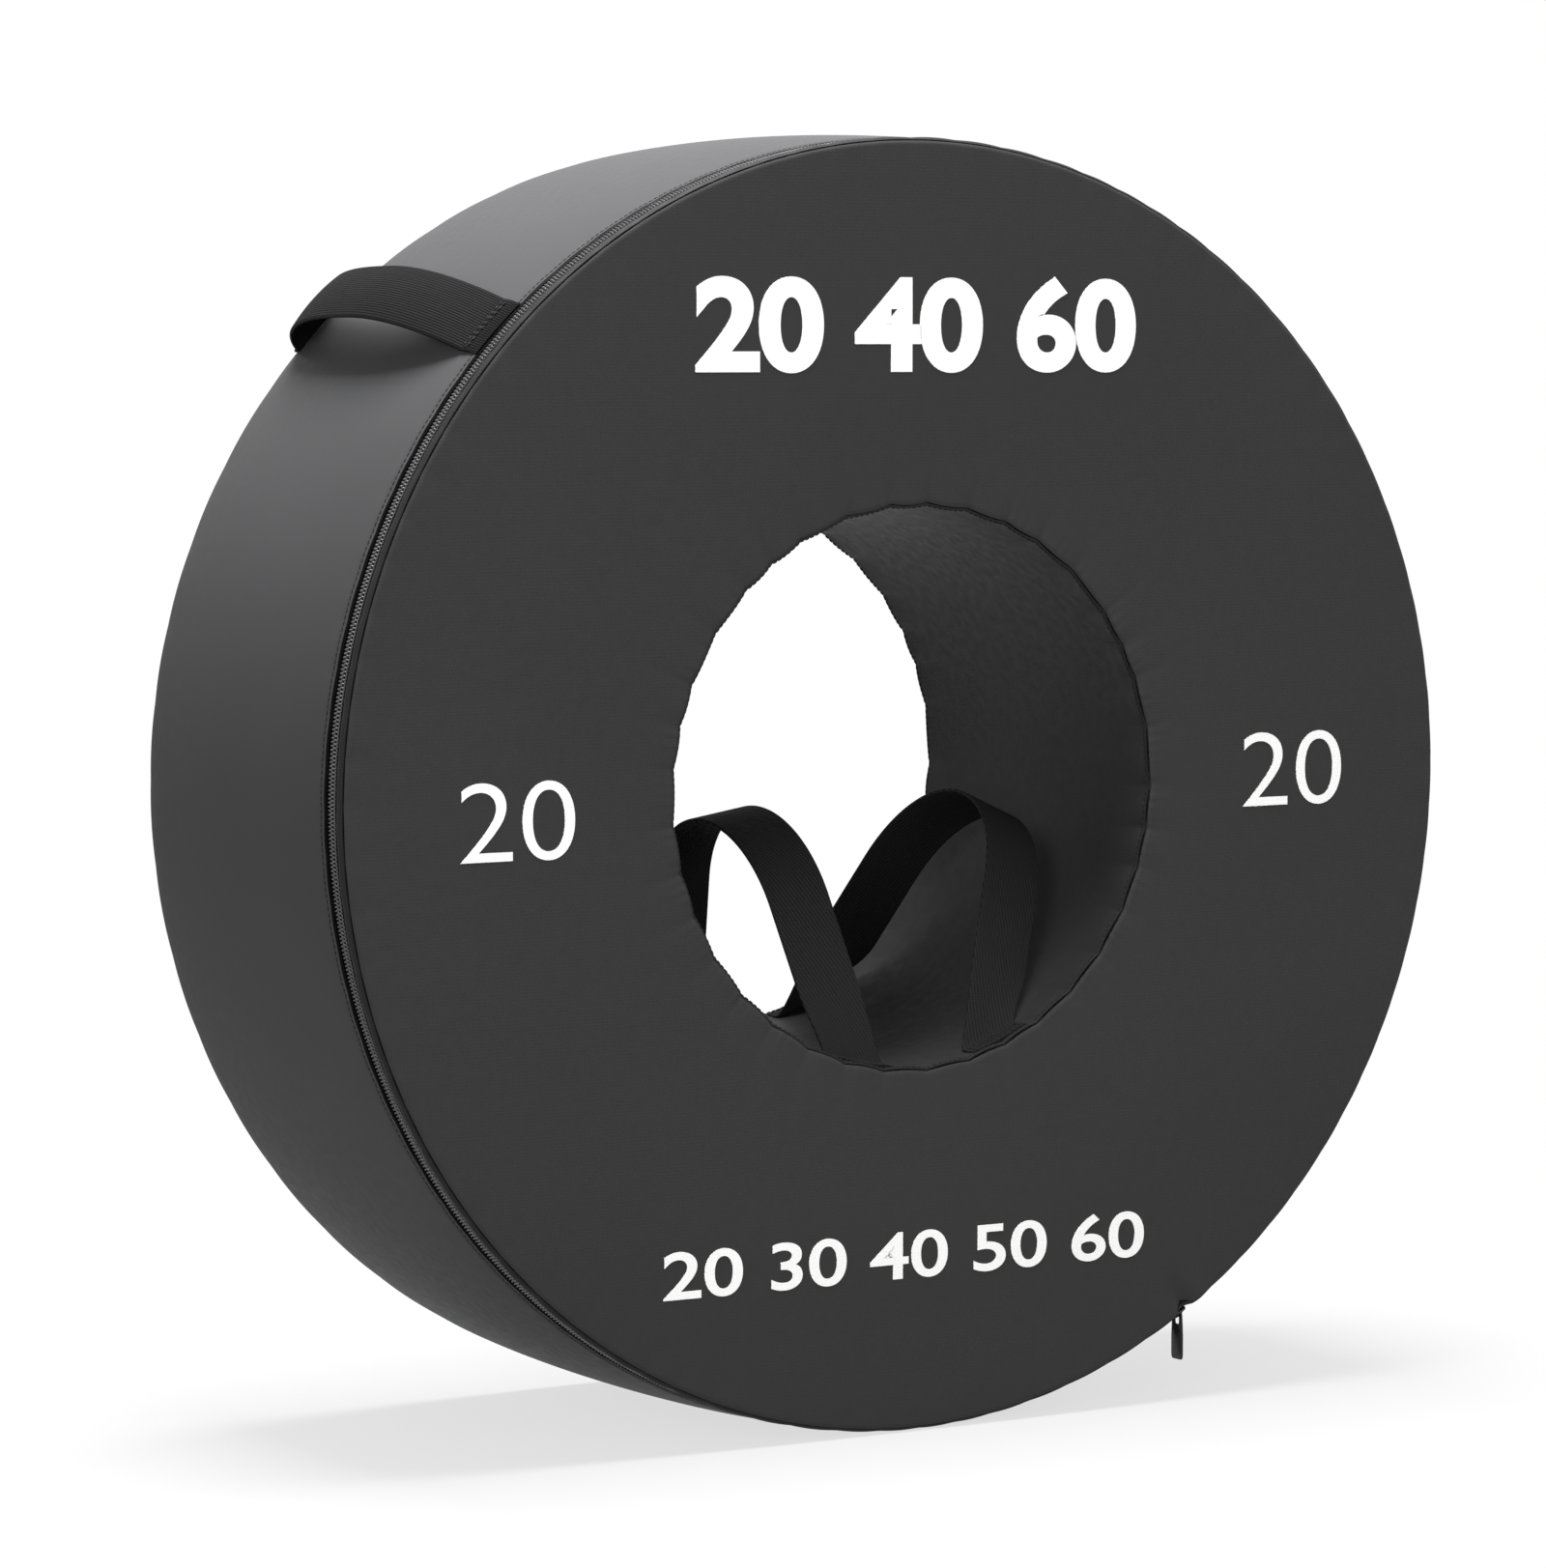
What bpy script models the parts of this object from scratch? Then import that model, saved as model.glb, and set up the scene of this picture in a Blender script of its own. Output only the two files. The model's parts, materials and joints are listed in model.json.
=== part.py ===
"""Tackling wheel: a foam ring in a zipped cover, with carry handles and two ball straps.

The wheel stands upright. Its axis is +Y, its front face looks to -Y, and the origin is its
centre. Places round the wheel are polar angles from +X, anticlockwise seen from the front.
"""

import math

import bmesh
import bpy
from mathutils import Vector

# Overall sizes
WHEEL_RADIUS = 0.3556
WHEEL_WIDTH = 0.229
BORE_RADIUS = 0.155

# Cover
FABRIC = 0.001
GAP = 0.0003
RIM_CROWN = 0.0026
RIM_LAND = 0.030
RIM_FLAT_HALF = 0.055
CROWN_STATIONS = 3

# Round pieces are cut into this many sides
SIDES = 72
STEP = 2.0 * math.pi / SIDES
BOTTOM_ANGLE = -math.pi / 2
CORNER_MARGIN_SHARE = 0.1

# Zipper, measured back from the front face and out from the cover's skin
ZIP_CENTRE = 0.0129
COIL_SLOT = 0.0012
COIL_ROW = 0.0043
COIL_ABOVE = 0.0008
COIL_BELOW = 0.0010
TAPE = 0.0007
TAPE_SHOWN = 0.0015
TAPE_UNDER_STRIP = 0.0050
TAPE_UNDER_PANEL = 0.0088
FOLD_MARGIN = 0.0004
STOP_LENGTH = 0.0054
STOP_ABOVE = 0.0012
TAPE_END = 0.0090

# Zipper slider and pull
SLIDER_LENGTH = 0.0090
SLIDER_WIDTH = 0.0110
SLIDER_CORNER = 0.0022
SLIDER_TOP_CLEARANCE = 0.0007
SLIDER_TOP = 0.0015
SLIDER_BLADE = 0.0006
SLIDER_BOTTOM_CLEARANCE = 0.0009
SLIDER_BOTTOM = 0.0014
SLIDER_SINK = 0.0002
GROOVE_CLEARANCE = 0.0009
BAIL_HALF = 0.0026
BAIL_RISE = 0.0024
BAIL_WALL = 0.0011
BAIL_WIDTH = 0.0016
BAIL_CHAMFER = 0.0008
PULL_LENGTH = 0.0264
PULL_WIDTH = 0.0104
PULL_HEAD_WIDTH = 0.0092
PULL_BAR = 0.0012
PULL_EYE = 0.0062
PULL_EYE_CLEARANCE = 0.0012
PULL_NECK = 0.0020

# Threads
THREAD = 0.0006
RIM_STITCH_INSET = 0.0060
BORE_STITCH_INSET = 0.0022
BOX_STITCH_INSET = 0.0024
BOX_STITCH_SHORT_SHARE = 0.7

# Carry handles
HANDLE_WIDTH = 0.038
HANDLE_THICKNESS = 0.0022
HANDLE_RISE = 0.024
HANDLE_PATCH = 0.012
HANDLE_FRONT_INSET = 0.0270
HANDLE_BACK_INSET = 0.0040
HANDLE_ROWS = 20
HANDLE_FLAT_POWER = 2.4
HANDLE_END_POWER = 0.75

# Ball straps, bent over a ball that lies on the bottom of the bore
STRAP_WIDTH = 0.038
STRAP_THICKNESS = 0.0020
STRAP_TAB = 0.0100
STRAP_EDGE_INSET = 0.0045
STRAP_BEND = 0.0055
BALL_RADIUS = 0.067
STRAP_TWIST_HEIGHT = 0.045
STRAP_ARC_ROWS = 14
STRAP_STRAIGHT_ROWS = 7
STRAP_BEND_ROWS = 4

# Places round the wheel, in degrees
SLIDER_ANGLE = -59.0
ZIP_SWEEP = 331.4
LEFT_HANDLE_ANGLE = 135.0
RIGHT_HANDLE_ANGLE = 45.0
LEFT_STRAP_ANGLE = -101.5
RIGHT_STRAP_ANGLE = -68.0
LEFT_STRAP_LEAN = -0.021
RIGHT_STRAP_LEAN = 0.056

# Sizes that follow from the ones above
FACE = WHEEL_WIDTH / 2
LAND_RADIUS = WHEEL_RADIUS - RIM_CROWN
FOOT_RADIUS = WHEEL_RADIUS * math.cos(STEP)
MIDDLE_RADIUS = (WHEEL_RADIUS + BORE_RADIUS) / 2
COIL_INNER = COIL_SLOT / 2
COIL_OUTER = COIL_INNER + COIL_ROW
STRIP_EDGE = ZIP_CENTRE - COIL_OUTER - TAPE_SHOWN
PANEL_EDGE = ZIP_CENTRE + COIL_OUTER + FOLD_MARGIN
TAPE_TOP = LAND_RADIUS - FABRIC - GAP
TAPE_BASE = TAPE_TOP - TAPE
FOAM_TOP_DEPTH = FABRIC + GAP
FOAM_LAND = TAPE_BASE - GAP
SLIDER_PLATE_BASE = LAND_RADIUS + COIL_ABOVE + SLIDER_TOP_CLEARANCE
SLIDER_PLATE_TOP = SLIDER_PLATE_BASE + SLIDER_TOP
SLIDER_KEEL_TOP = TAPE_BASE - SLIDER_BOTTOM_CLEARANCE
SLIDER_KEEL_BASE = SLIDER_KEEL_TOP - SLIDER_BOTTOM
GROOVE_FLOOR = SLIDER_KEEL_BASE - GROOVE_CLEARANCE
GROOVE_HALF = SLIDER_WIDTH / 2 + GROOVE_CLEARANCE
HINGE_RADIUS = SLIDER_PLATE_TOP + BAIL_RISE / 2


def degrees_of(length, radius):
    """Angle in degrees that an arc of this length takes at this radius."""
    return math.degrees(length / radius)


def material(name, colour, roughness, metallic):
    made = bpy.data.materials.new(name)
    made.use_nodes = True
    shader = made.node_tree.nodes["Principled BSDF"]
    shader.inputs["Base Color"].default_value = (*colour, 1.0)
    shader.inputs["Roughness"].default_value = roughness
    shader.inputs["Metallic"].default_value = metallic
    return made


def link_mesh(name, shape, look, smooth_degrees=30.0):
    """Turn a bmesh into a named object with its faces outward and its round parts smooth.

    look is the real material's name, its colour, its roughness and how metallic it is.
    """
    bmesh.ops.recalc_face_normals(shape, faces=shape.faces[:])
    mesh = bpy.data.meshes.new(name)
    shape.to_mesh(mesh)
    shape.free()
    mesh.shade_smooth()
    mesh.set_sharp_from_angle(angle=math.radians(smooth_degrees))
    substance, colour, roughness, metallic = look
    mesh.materials.append(material(name + ", " + substance, colour, roughness, metallic))
    piece = bpy.data.objects.new(name, mesh)
    bpy.context.scene.collection.objects.link(piece)
    return piece


def skin_radius(y):
    """Radius of the cover at a place along the axis: a flat middle that falls to two lands."""
    fall_start = RIM_FLAT_HALF
    fall_end = FACE - RIM_LAND
    share = (abs(y) - fall_start) / (fall_end - fall_start)
    share = min(1.0, max(0.0, share))
    ease_share = share * share * (3.0 - 2.0 * share)
    return WHEEL_RADIUS - RIM_CROWN * ease_share


def crown_places(start, end):
    """Places along the axis, from start to end, where the crown needs a corner."""
    low = RIM_FLAT_HALF
    high = FACE - RIM_LAND
    rise = [low + (high - low) * i / CROWN_STATIONS for i in range(CROWN_STATIONS + 1)]
    places = [-y for y in reversed(rise)] + rise
    return [start] + [y for y in places if start + GAP < y < end - GAP] + [end]


def side_radius(radius, angle):
    """Radius of a flat side at an angle, where the corners of the sides lie at radius."""
    within = (angle - BOTTOM_ANGLE) % STEP
    return radius * math.cos(STEP / 2) / math.cos(within - STEP / 2)


def wheel_point(radius, y, angle):
    """Point on a ring. At the bottom the outer layers are drawn up onto the flat foot."""
    turned = (angle - BOTTOM_ANGLE + math.pi) % (2.0 * math.pi) - math.pi
    reach = side_radius(radius, angle)
    if radius > MIDDLE_RADIUS and abs(turned) < STEP / 4:
        reach -= max(0.0, skin_radius(y) - FOOT_RADIUS)
    return Vector((reach * math.cos(angle), y, reach * math.sin(angle)))


def bridge_rows(shape, profile, here, there):
    """Join two rows of a turned profile. Layers that face each other split their quads alike."""
    for j in range(len(profile)):
        k = (j + 1) % len(profile)
        if profile[j][1] <= profile[k][1]:
            shape.faces.new((here[j], here[k], there[k], there[j]))
        else:
            shape.faces.new((here[k], there[k], there[j], here[j]))


def full_ring(name, profile, look):
    """Turn a closed profile of (radius, y) corners all the way round the axis."""
    shape = bmesh.new()
    rows = []
    for i in range(SIDES):
        angle = BOTTOM_ANGLE + i * STEP
        rows.append([shape.verts.new(wheel_point(r, y, angle)) for r, y in profile])
    for i in range(SIDES):
        bridge_rows(shape, profile, rows[i], rows[(i + 1) % SIDES])
    return link_mesh(name, shape, look)


def corner_angles(first, last):
    """Angles from first to last, with each corner of the sides that lies well between them."""
    corner = math.ceil((first - BOTTOM_ANGLE) / STEP + CORNER_MARGIN_SHARE)
    angles = [first]
    while BOTTOM_ANGLE + corner * STEP < last - CORNER_MARGIN_SHARE * STEP:
        angles.append(BOTTOM_ANGLE + corner * STEP)
        corner += 1
    return angles + [last]


def travel_angle(travel):
    """Polar angle, in radians, at a travel in degrees along the zipper from the slider's rest."""
    return math.radians(SLIDER_ANGLE - travel)


def part_ring(name, profile, start, end, look):
    """Turn a closed profile from one travel to another, in degrees, with closed ends."""
    first = travel_angle(end)
    last = travel_angle(start)
    stations = corner_angles(first, last)
    shape = bmesh.new()
    rows = [[shape.verts.new(wheel_point(r, y, a)) for r, y in profile] for a in stations]
    for here, there in zip(rows, rows[1:]):
        bridge_rows(shape, profile, here, there)
    shape.faces.new(rows[0])
    shape.faces.new(rows[-1])
    return link_mesh(name, shape, look)


def box_profile(radius_low, radius_high, y_low, y_high):
    return [(radius_low, y_low), (radius_high, y_low), (radius_high, y_high), (radius_low, y_high)]


def layer_profile(depth_out, depth_in, y_low, y_high):
    """Profile of a layer that follows the skin, between two depths below it."""
    places = crown_places(y_low, y_high)
    outer = [(skin_radius(y) - depth_out, y) for y in places]
    inner = [(skin_radius(y) - depth_in, y) for y in reversed(places)]
    return outer + inner


def thread_ring(name, radius, y, look):
    """A closed ring of thread, three-sided, standing just off the face it is sewn to."""
    half = THREAD / 2
    outward = 1.0 if radius > MIDDLE_RADIUS else -1.0
    base = radius + outward * GAP
    profile = [(base, y - half), (base + outward * THREAD, y), (base, y + half)]
    return full_ring(name, profile, look)


def sheet_solid(name, rows, thickness, look):
    """Thicken a grid of points, rows of columns, to one side of it and close it all round."""
    last_row = len(rows) - 1
    last_column = len(rows[0]) - 1
    shape = bmesh.new()
    low = [[shape.verts.new(p) for p in row] for row in rows]
    high = []
    for i, row in enumerate(rows):
        raised = []
        for j, point in enumerate(row):
            along = rows[min(i + 1, last_row)][j] - rows[max(i - 1, 0)][j]
            across = row[min(j + 1, last_column)] - row[max(j - 1, 0)]
            normal = across.cross(along).normalized()
            raised.append(shape.verts.new(point + normal * thickness))
        high.append(raised)
    for i in range(last_row):
        for j in range(last_column):
            shape.faces.new((low[i][j], low[i][j + 1], low[i + 1][j + 1], low[i + 1][j]))
            shape.faces.new((high[i][j], high[i + 1][j], high[i + 1][j + 1], high[i][j + 1]))
    for i in range(last_row):
        for j in (0, last_column):
            shape.faces.new((low[i][j], high[i][j], high[i + 1][j], low[i + 1][j]))
    for j in range(last_column):
        for i in (0, last_row):
            shape.faces.new((low[i][j], high[i][j], high[i][j + 1], low[i][j + 1]))
    return link_mesh(name, shape, look, 40.0)


def band_angles(centre, width, radius):
    """Angles across a band that lies on a ring: its two edges and the corners between them."""
    half = width / 2 / radius
    return corner_angles(centre - half, centre + half)


def box_stitch(name, place, normal, along, across, look):
    """A closed rectangle of thread that lies on a webbing end. along and across are its halves."""
    corners = [along + across, along - across, -along - across, -along + across]
    out = normal.normalized()
    shape = bmesh.new()
    rows = []
    for corner in corners:
        inset = Vector(corner) * (1.0 - THREAD / min(along.length, across.length))
        rows.append([
            shape.verts.new(place + corner + out * GAP),
            shape.verts.new(place + corner + out * (GAP + THREAD)),
            shape.verts.new(place + inset + out * (GAP + THREAD)),
            shape.verts.new(place + inset + out * GAP),
        ])
    for i in range(4):
        here = rows[i]
        there = rows[(i + 1) % 4]
        for j in range(4):
            k = (j + 1) % 4
            shape.faces.new((here[j], here[k], there[k], there[j]))
    return link_mesh(name, shape, look)


def build_foam(look):
    inner = BORE_RADIUS + FABRIC + GAP
    front = -FACE + FABRIC + GAP
    back = FACE - FABRIC - GAP
    slab = (back - front - 2.0 * GAP) / 3.0
    zip_y = -FACE + ZIP_CENTRE
    land_end = -FACE + PANEL_EDGE + TAPE_UNDER_PANEL + GAP
    split_one = front + slab
    split_two = split_one + GAP + slab
    crown = crown_places(land_end, split_one)
    profile = [
        (inner, front),
        (FOAM_LAND, front),
        (FOAM_LAND, zip_y - GROOVE_HALF),
        (GROOVE_FLOOR, zip_y - GROOVE_HALF),
        (GROOVE_FLOOR, zip_y + GROOVE_HALF),
        (FOAM_LAND, zip_y + GROOVE_HALF),
        (FOAM_LAND, land_end),
    ]
    profile += [(skin_radius(y) - FOAM_TOP_DEPTH, y) for y in crown]
    profile.append((inner, split_one))
    full_ring("foam_core_front", profile, look)
    for name, start, end in (
        ("foam_core_middle", split_one + GAP, split_two),
        ("foam_core_back", split_two + GAP, back),
    ):
        outer = [(skin_radius(y) - FOAM_TOP_DEPTH, y) for y in crown_places(start, end)]
        full_ring(name, [(inner, start)] + outer + [(inner, end)], look)


def build_cover(face_look, rim_look, lining_look):
    panel_rim = LAND_RADIUS - FABRIC - GAP
    panel_bore = BORE_RADIUS + FABRIC + GAP
    front_panel = box_profile(panel_bore, panel_rim, -FACE, -FACE + FABRIC)
    full_ring("front_panel", front_panel, face_look)
    back_panel = box_profile(panel_bore, panel_rim, FACE - FABRIC, FACE)
    full_ring("back_panel", back_panel, face_look)
    lining = box_profile(BORE_RADIUS, BORE_RADIUS + FABRIC, -FACE, FACE)
    full_ring("bore_lining", lining, lining_look)
    strip = box_profile(LAND_RADIUS - FABRIC, LAND_RADIUS, -FACE, -FACE + STRIP_EDGE)
    full_ring("front_edge_strip", strip, rim_look)
    full_ring("rim_panel", layer_profile(0.0, FABRIC, -FACE + PANEL_EDGE, FACE), rim_look)


def build_zipper(tape_look, coil_look, metal_look, rim_look):
    zip_y = -FACE + ZIP_CENTRE
    coil_low = LAND_RADIUS - COIL_BELOW
    coil_high = LAND_RADIUS + COIL_ABOVE
    coil_shoulder = (coil_low + coil_high) / 2
    first_coil = degrees_of(SLIDER_LENGTH, LAND_RADIUS)
    stop = degrees_of(STOP_LENGTH, LAND_RADIUS)
    pause = degrees_of(GAP, LAND_RADIUS)
    start = -first_coil
    end = ZIP_SWEEP
    tape_more = degrees_of(TAPE_END, LAND_RADIUS)
    strip_side = -FACE + STRIP_EDGE - TAPE_UNDER_STRIP
    panel_side = -FACE + PANEL_EDGE + TAPE_UNDER_PANEL
    sides = (
        ("front", strip_side, zip_y - COIL_INNER, zip_y - COIL_OUTER),
        ("rear", panel_side, zip_y + COIL_INNER, zip_y + COIL_OUTER),
    )
    for side, tape_far, near, far in sides:
        tape = box_profile(TAPE_BASE, TAPE_TOP, tape_far, near)
        part_ring("zipper_tape_" + side, tape, start - tape_more, end + tape_more, tape_look)
        middle = (near + far) / 2
        coil = [
            (coil_low, near),
            (coil_shoulder, near),
            (coil_high, middle),
            (coil_shoulder, far),
            (coil_low, far),
        ]
        part_ring("zipper_coil_" + side, coil, start, end, coil_look)
    clamp = box_profile(
        coil_low, LAND_RADIUS + STOP_ABOVE, zip_y - COIL_OUTER, zip_y + COIL_OUTER
    )
    part_ring("zipper_stop_start", clamp, start - pause - stop, start - pause, metal_look)
    part_ring("zipper_stop_end", clamp, end + pause, end + pause + stop, metal_look)
    filler = box_profile(
        LAND_RADIUS - FABRIC, LAND_RADIUS, -FACE + STRIP_EDGE + GAP, -FACE + PANEL_EDGE - GAP
    )
    filler_start = end + pause + stop + pause
    filler_end = 360.0 + start - pause - stop - pause
    part_ring("zipper_end_cover", filler, filler_start, filler_end, rim_look)


def outline_prism(name, outline, low, high, look):
    """Extrude an outline of (along, out) corners across the zipper, from low to high."""
    shape = bmesh.new()
    base = shape.faces.new([shape.verts.new((a, low, o)) for a, o in outline])
    grown = bmesh.ops.extrude_face_region(shape, geom=[base])
    moved = [item for item in grown["geom"] if isinstance(item, bmesh.types.BMVert)]
    bmesh.ops.translate(shape, verts=moved, vec=(0.0, high - low, 0.0))
    return link_mesh(name, shape, look)


def plate_prism(name, outline, low, high, look):
    """Extrude an outline of (along, across) corners outward, from low to high."""
    shape = bmesh.new()
    base = shape.faces.new([shape.verts.new((a, c, low)) for a, c in outline])
    grown = bmesh.ops.extrude_face_region(shape, geom=[base])
    moved = [item for item in grown["geom"] if isinstance(item, bmesh.types.BMVert)]
    bmesh.ops.translate(shape, verts=moved, vec=(0.0, 0.0, high - low))
    return link_mesh(name, shape, look)


def make_helper(piece):
    piece.hide_render = True
    piece.display_type = "WIRE"


def boolean(piece, other, operation, name):
    cut = piece.modifiers.new(name, "BOOLEAN")
    cut.operation = operation
    cut.solver = "EXACT"
    cut.object = other


def build_slider(metal_look):
    """The slider and its pull, modelled with their hinges at the origin, then set in place.

    In their own frames +X runs along the zipper, +Y across it and +Z outward.
    """
    half_length = SLIDER_LENGTH / 2
    half_width = SLIDER_WIDTH / 2
    corner = SLIDER_CORNER
    plate = [
        (-half_length + corner, -half_width),
        (half_length - corner, -half_width),
        (half_length, -half_width + corner),
        (half_length, half_width - corner),
        (half_length - corner, half_width),
        (-half_length + corner, half_width),
        (-half_length, half_width - corner),
        (-half_length, -half_width + corner),
    ]
    body = plate_prism("zip_slider", plate, SLIDER_PLATE_BASE, SLIDER_PLATE_TOP, metal_look)
    keel = plate_prism("slider_keel", plate, SLIDER_KEEL_BASE, SLIDER_KEEL_TOP, metal_look)
    blade_half = SLIDER_BLADE / 2
    blade_long = half_length - corner
    blade_outline = [
        (-blade_long, SLIDER_KEEL_TOP - SLIDER_SINK),
        (blade_long, SLIDER_KEEL_TOP - SLIDER_SINK),
        (blade_long, SLIDER_PLATE_BASE + SLIDER_SINK),
        (-blade_long, SLIDER_PLATE_BASE + SLIDER_SINK),
    ]
    blade = outline_prism("slider_blade", blade_outline, -blade_half, blade_half, metal_look)
    bail_top = SLIDER_PLATE_TOP + BAIL_RISE + BAIL_WALL
    bail_out = BAIL_HALF + BAIL_WALL
    bail_foot = SLIDER_PLATE_TOP - SLIDER_SINK
    bail_outline = [
        (-bail_out, bail_foot),
        (-bail_out, bail_top - BAIL_CHAMFER),
        (-bail_out + BAIL_CHAMFER, bail_top),
        (bail_out - BAIL_CHAMFER, bail_top),
        (bail_out, bail_top - BAIL_CHAMFER),
        (bail_out, bail_foot),
        (BAIL_HALF, bail_foot),
        (BAIL_HALF, bail_top - BAIL_WALL),
        (-BAIL_HALF, bail_top - BAIL_WALL),
        (-BAIL_HALF, bail_foot),
    ]
    bail = outline_prism("slider_bail", bail_outline, -BAIL_WIDTH / 2, BAIL_WIDTH / 2, metal_look)
    mount = bpy.data.objects.new("slider_axis", None)
    bpy.context.scene.collection.objects.link(mount)
    mount.location = (0.0, 0.0, 0.0)
    mount.rotation_euler = (0.0, math.radians(90.0 - SLIDER_ANGLE), 0.0)
    for piece in (body, keel, blade, bail):
        piece.parent = mount
        piece.location = (0.0, -FACE + ZIP_CENTRE, 0.0)
    for helper in (keel, blade, bail):
        make_helper(helper)
        boolean(body, helper, "UNION", "join " + helper.name)

    bar = PULL_BAR / 2
    head = PULL_HEAD_WIDTH / 2
    tab = PULL_WIDTH / 2
    neck = PULL_EYE + PULL_NECK
    tip = PULL_LENGTH
    pull_outline = [
        (-bar, -head + bar),
        (-bar, head - bar),
        (bar, head),
        (PULL_EYE, head),
        (neck, tab),
        (tip - tab / 2, tab),
        (tip, tab / 2),
        (tip, -tab / 2),
        (tip - tab / 2, -tab),
        (neck, -tab),
        (PULL_EYE, -head),
        (bar, -head),
    ]
    pull = plate_prism("zip_pull", pull_outline, -bar, bar, metal_look)
    eye = BAIL_WIDTH / 2 + PULL_EYE_CLEARANCE
    eye_outline = [(bar, -eye), (PULL_EYE, -eye), (PULL_EYE, eye), (bar, eye)]
    cutter = plate_prism("pull_eye", eye_outline, -PULL_BAR, PULL_BAR, metal_look)
    make_helper(cutter)
    boolean(pull, cutter, "DIFFERENCE", "eye")
    hinge = bpy.data.objects.new("pull_axis", None)
    bpy.context.scene.collection.objects.link(hinge)
    out = math.radians(SLIDER_ANGLE)
    hinge.location = (
        HINGE_RADIUS * math.cos(out),
        -FACE + ZIP_CENTRE,
        HINGE_RADIUS * math.sin(out),
    )
    hinge.rotation_euler = (0.0, math.pi / 2, 0.0)
    pull.parent = hinge
    cutter.parent = hinge


def handle_rise(share):
    """Height of the handle's arch, where share runs from -1 at one end to 1 at the other."""
    return HANDLE_RISE * (1.0 - abs(share) ** HANDLE_FLAT_POWER) ** HANDLE_END_POWER


def build_handle(side, degrees, look, thread_look):
    centre = math.radians(degrees)
    angles = list(reversed(band_angles(centre, HANDLE_WIDTH, WHEEL_RADIUS)))
    front = -FACE + HANDLE_FRONT_INSET
    back = FACE - HANDLE_BACK_INSET
    arch_front = front + HANDLE_PATCH
    arch_back = back - HANDLE_PATCH
    flat_front = [front] + [y for y in crown_places(front, arch_front) if front < y < arch_front]
    flat_back = [y for y in crown_places(arch_back, back) if arch_back < y < back] + [back]
    stations = [(y, 0.0) for y in flat_front]
    for i in range(HANDLE_ROWS + 1):
        share = -math.cos(math.pi * i / HANDLE_ROWS)
        y = (arch_front + arch_back) / 2 + (arch_back - arch_front) / 2 * share
        rise = handle_rise(share) if 0 < i < HANDLE_ROWS else 0.0
        stations.append((y, rise))
    stations += [(y, 0.0) for y in flat_back]
    out = Vector((math.cos(centre), 0.0, math.sin(centre)))
    rows = []
    for y, rise in stations:
        lie = skin_radius(y) + GAP
        rows.append([wheel_point(lie, y, a) + out * rise for a in angles])
    sheet_solid("carry_handle_" + side, rows, HANDLE_THICKNESS, look)
    along_half = (HANDLE_PATCH - BOX_STITCH_INSET) / 2 * BOX_STITCH_SHORT_SHARE
    across_half = HANDLE_WIDTH / 2 - BOX_STITCH_INSET
    across = Vector((-out.z, 0.0, out.x)) * across_half
    ends = (("front", front + HANDLE_PATCH / 2), ("back", back - HANDLE_PATCH / 2))
    for end, y in ends:
        steps = (y - along_half, y, y + along_half)
        lift = max(skin_radius(step) for step in steps) + GAP + HANDLE_THICKNESS
        place = out * lift + Vector((0.0, y, 0.0))
        along = Vector((0.0, along_half, 0.0))
        box_stitch("handle_stitch_" + side + "_" + end, place, out, along, across, thread_look)


def strap_side(bed):
    """Half of a ball strap's path, as (y, z), from its end at the back edge to its crest."""
    end = FACE - STRAP_EDGE_INSET
    foot = end - STRAP_TAB
    ball_z = -BORE_RADIUS + GAP + BALL_RADIUS
    arc = BALL_RADIUS + GAP
    bend_z = bed + STRAP_BEND
    reach_y = foot
    reach_z = ball_z - bend_z
    apart = math.hypot(reach_y, reach_z)
    slope = math.atan2(reach_z, reach_y) + math.asin((arc + STRAP_BEND) / apart)
    points = [(end, bed), (foot + (end - foot) / 2, bed)]
    for i in range(STRAP_BEND_ROWS + 1):
        turn = slope * i / STRAP_BEND_ROWS
        points.append((foot - STRAP_BEND * math.sin(turn), bend_z - STRAP_BEND * math.cos(turn)))
    from_y, from_z = points[-1]
    to_y = arc * math.sin(slope)
    to_z = ball_z + arc * math.cos(slope)
    for i in range(1, STRAP_STRAIGHT_ROWS):
        share = i / STRAP_STRAIGHT_ROWS
        points.append((from_y + (to_y - from_y) * share, from_z + (to_z - from_z) * share))
    for i in range(STRAP_ARC_ROWS + 1):
        turn = slope * (1.0 - i / STRAP_ARC_ROWS)
        points.append((arc * math.sin(turn), ball_z + arc * math.cos(turn)))
    return points


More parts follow.
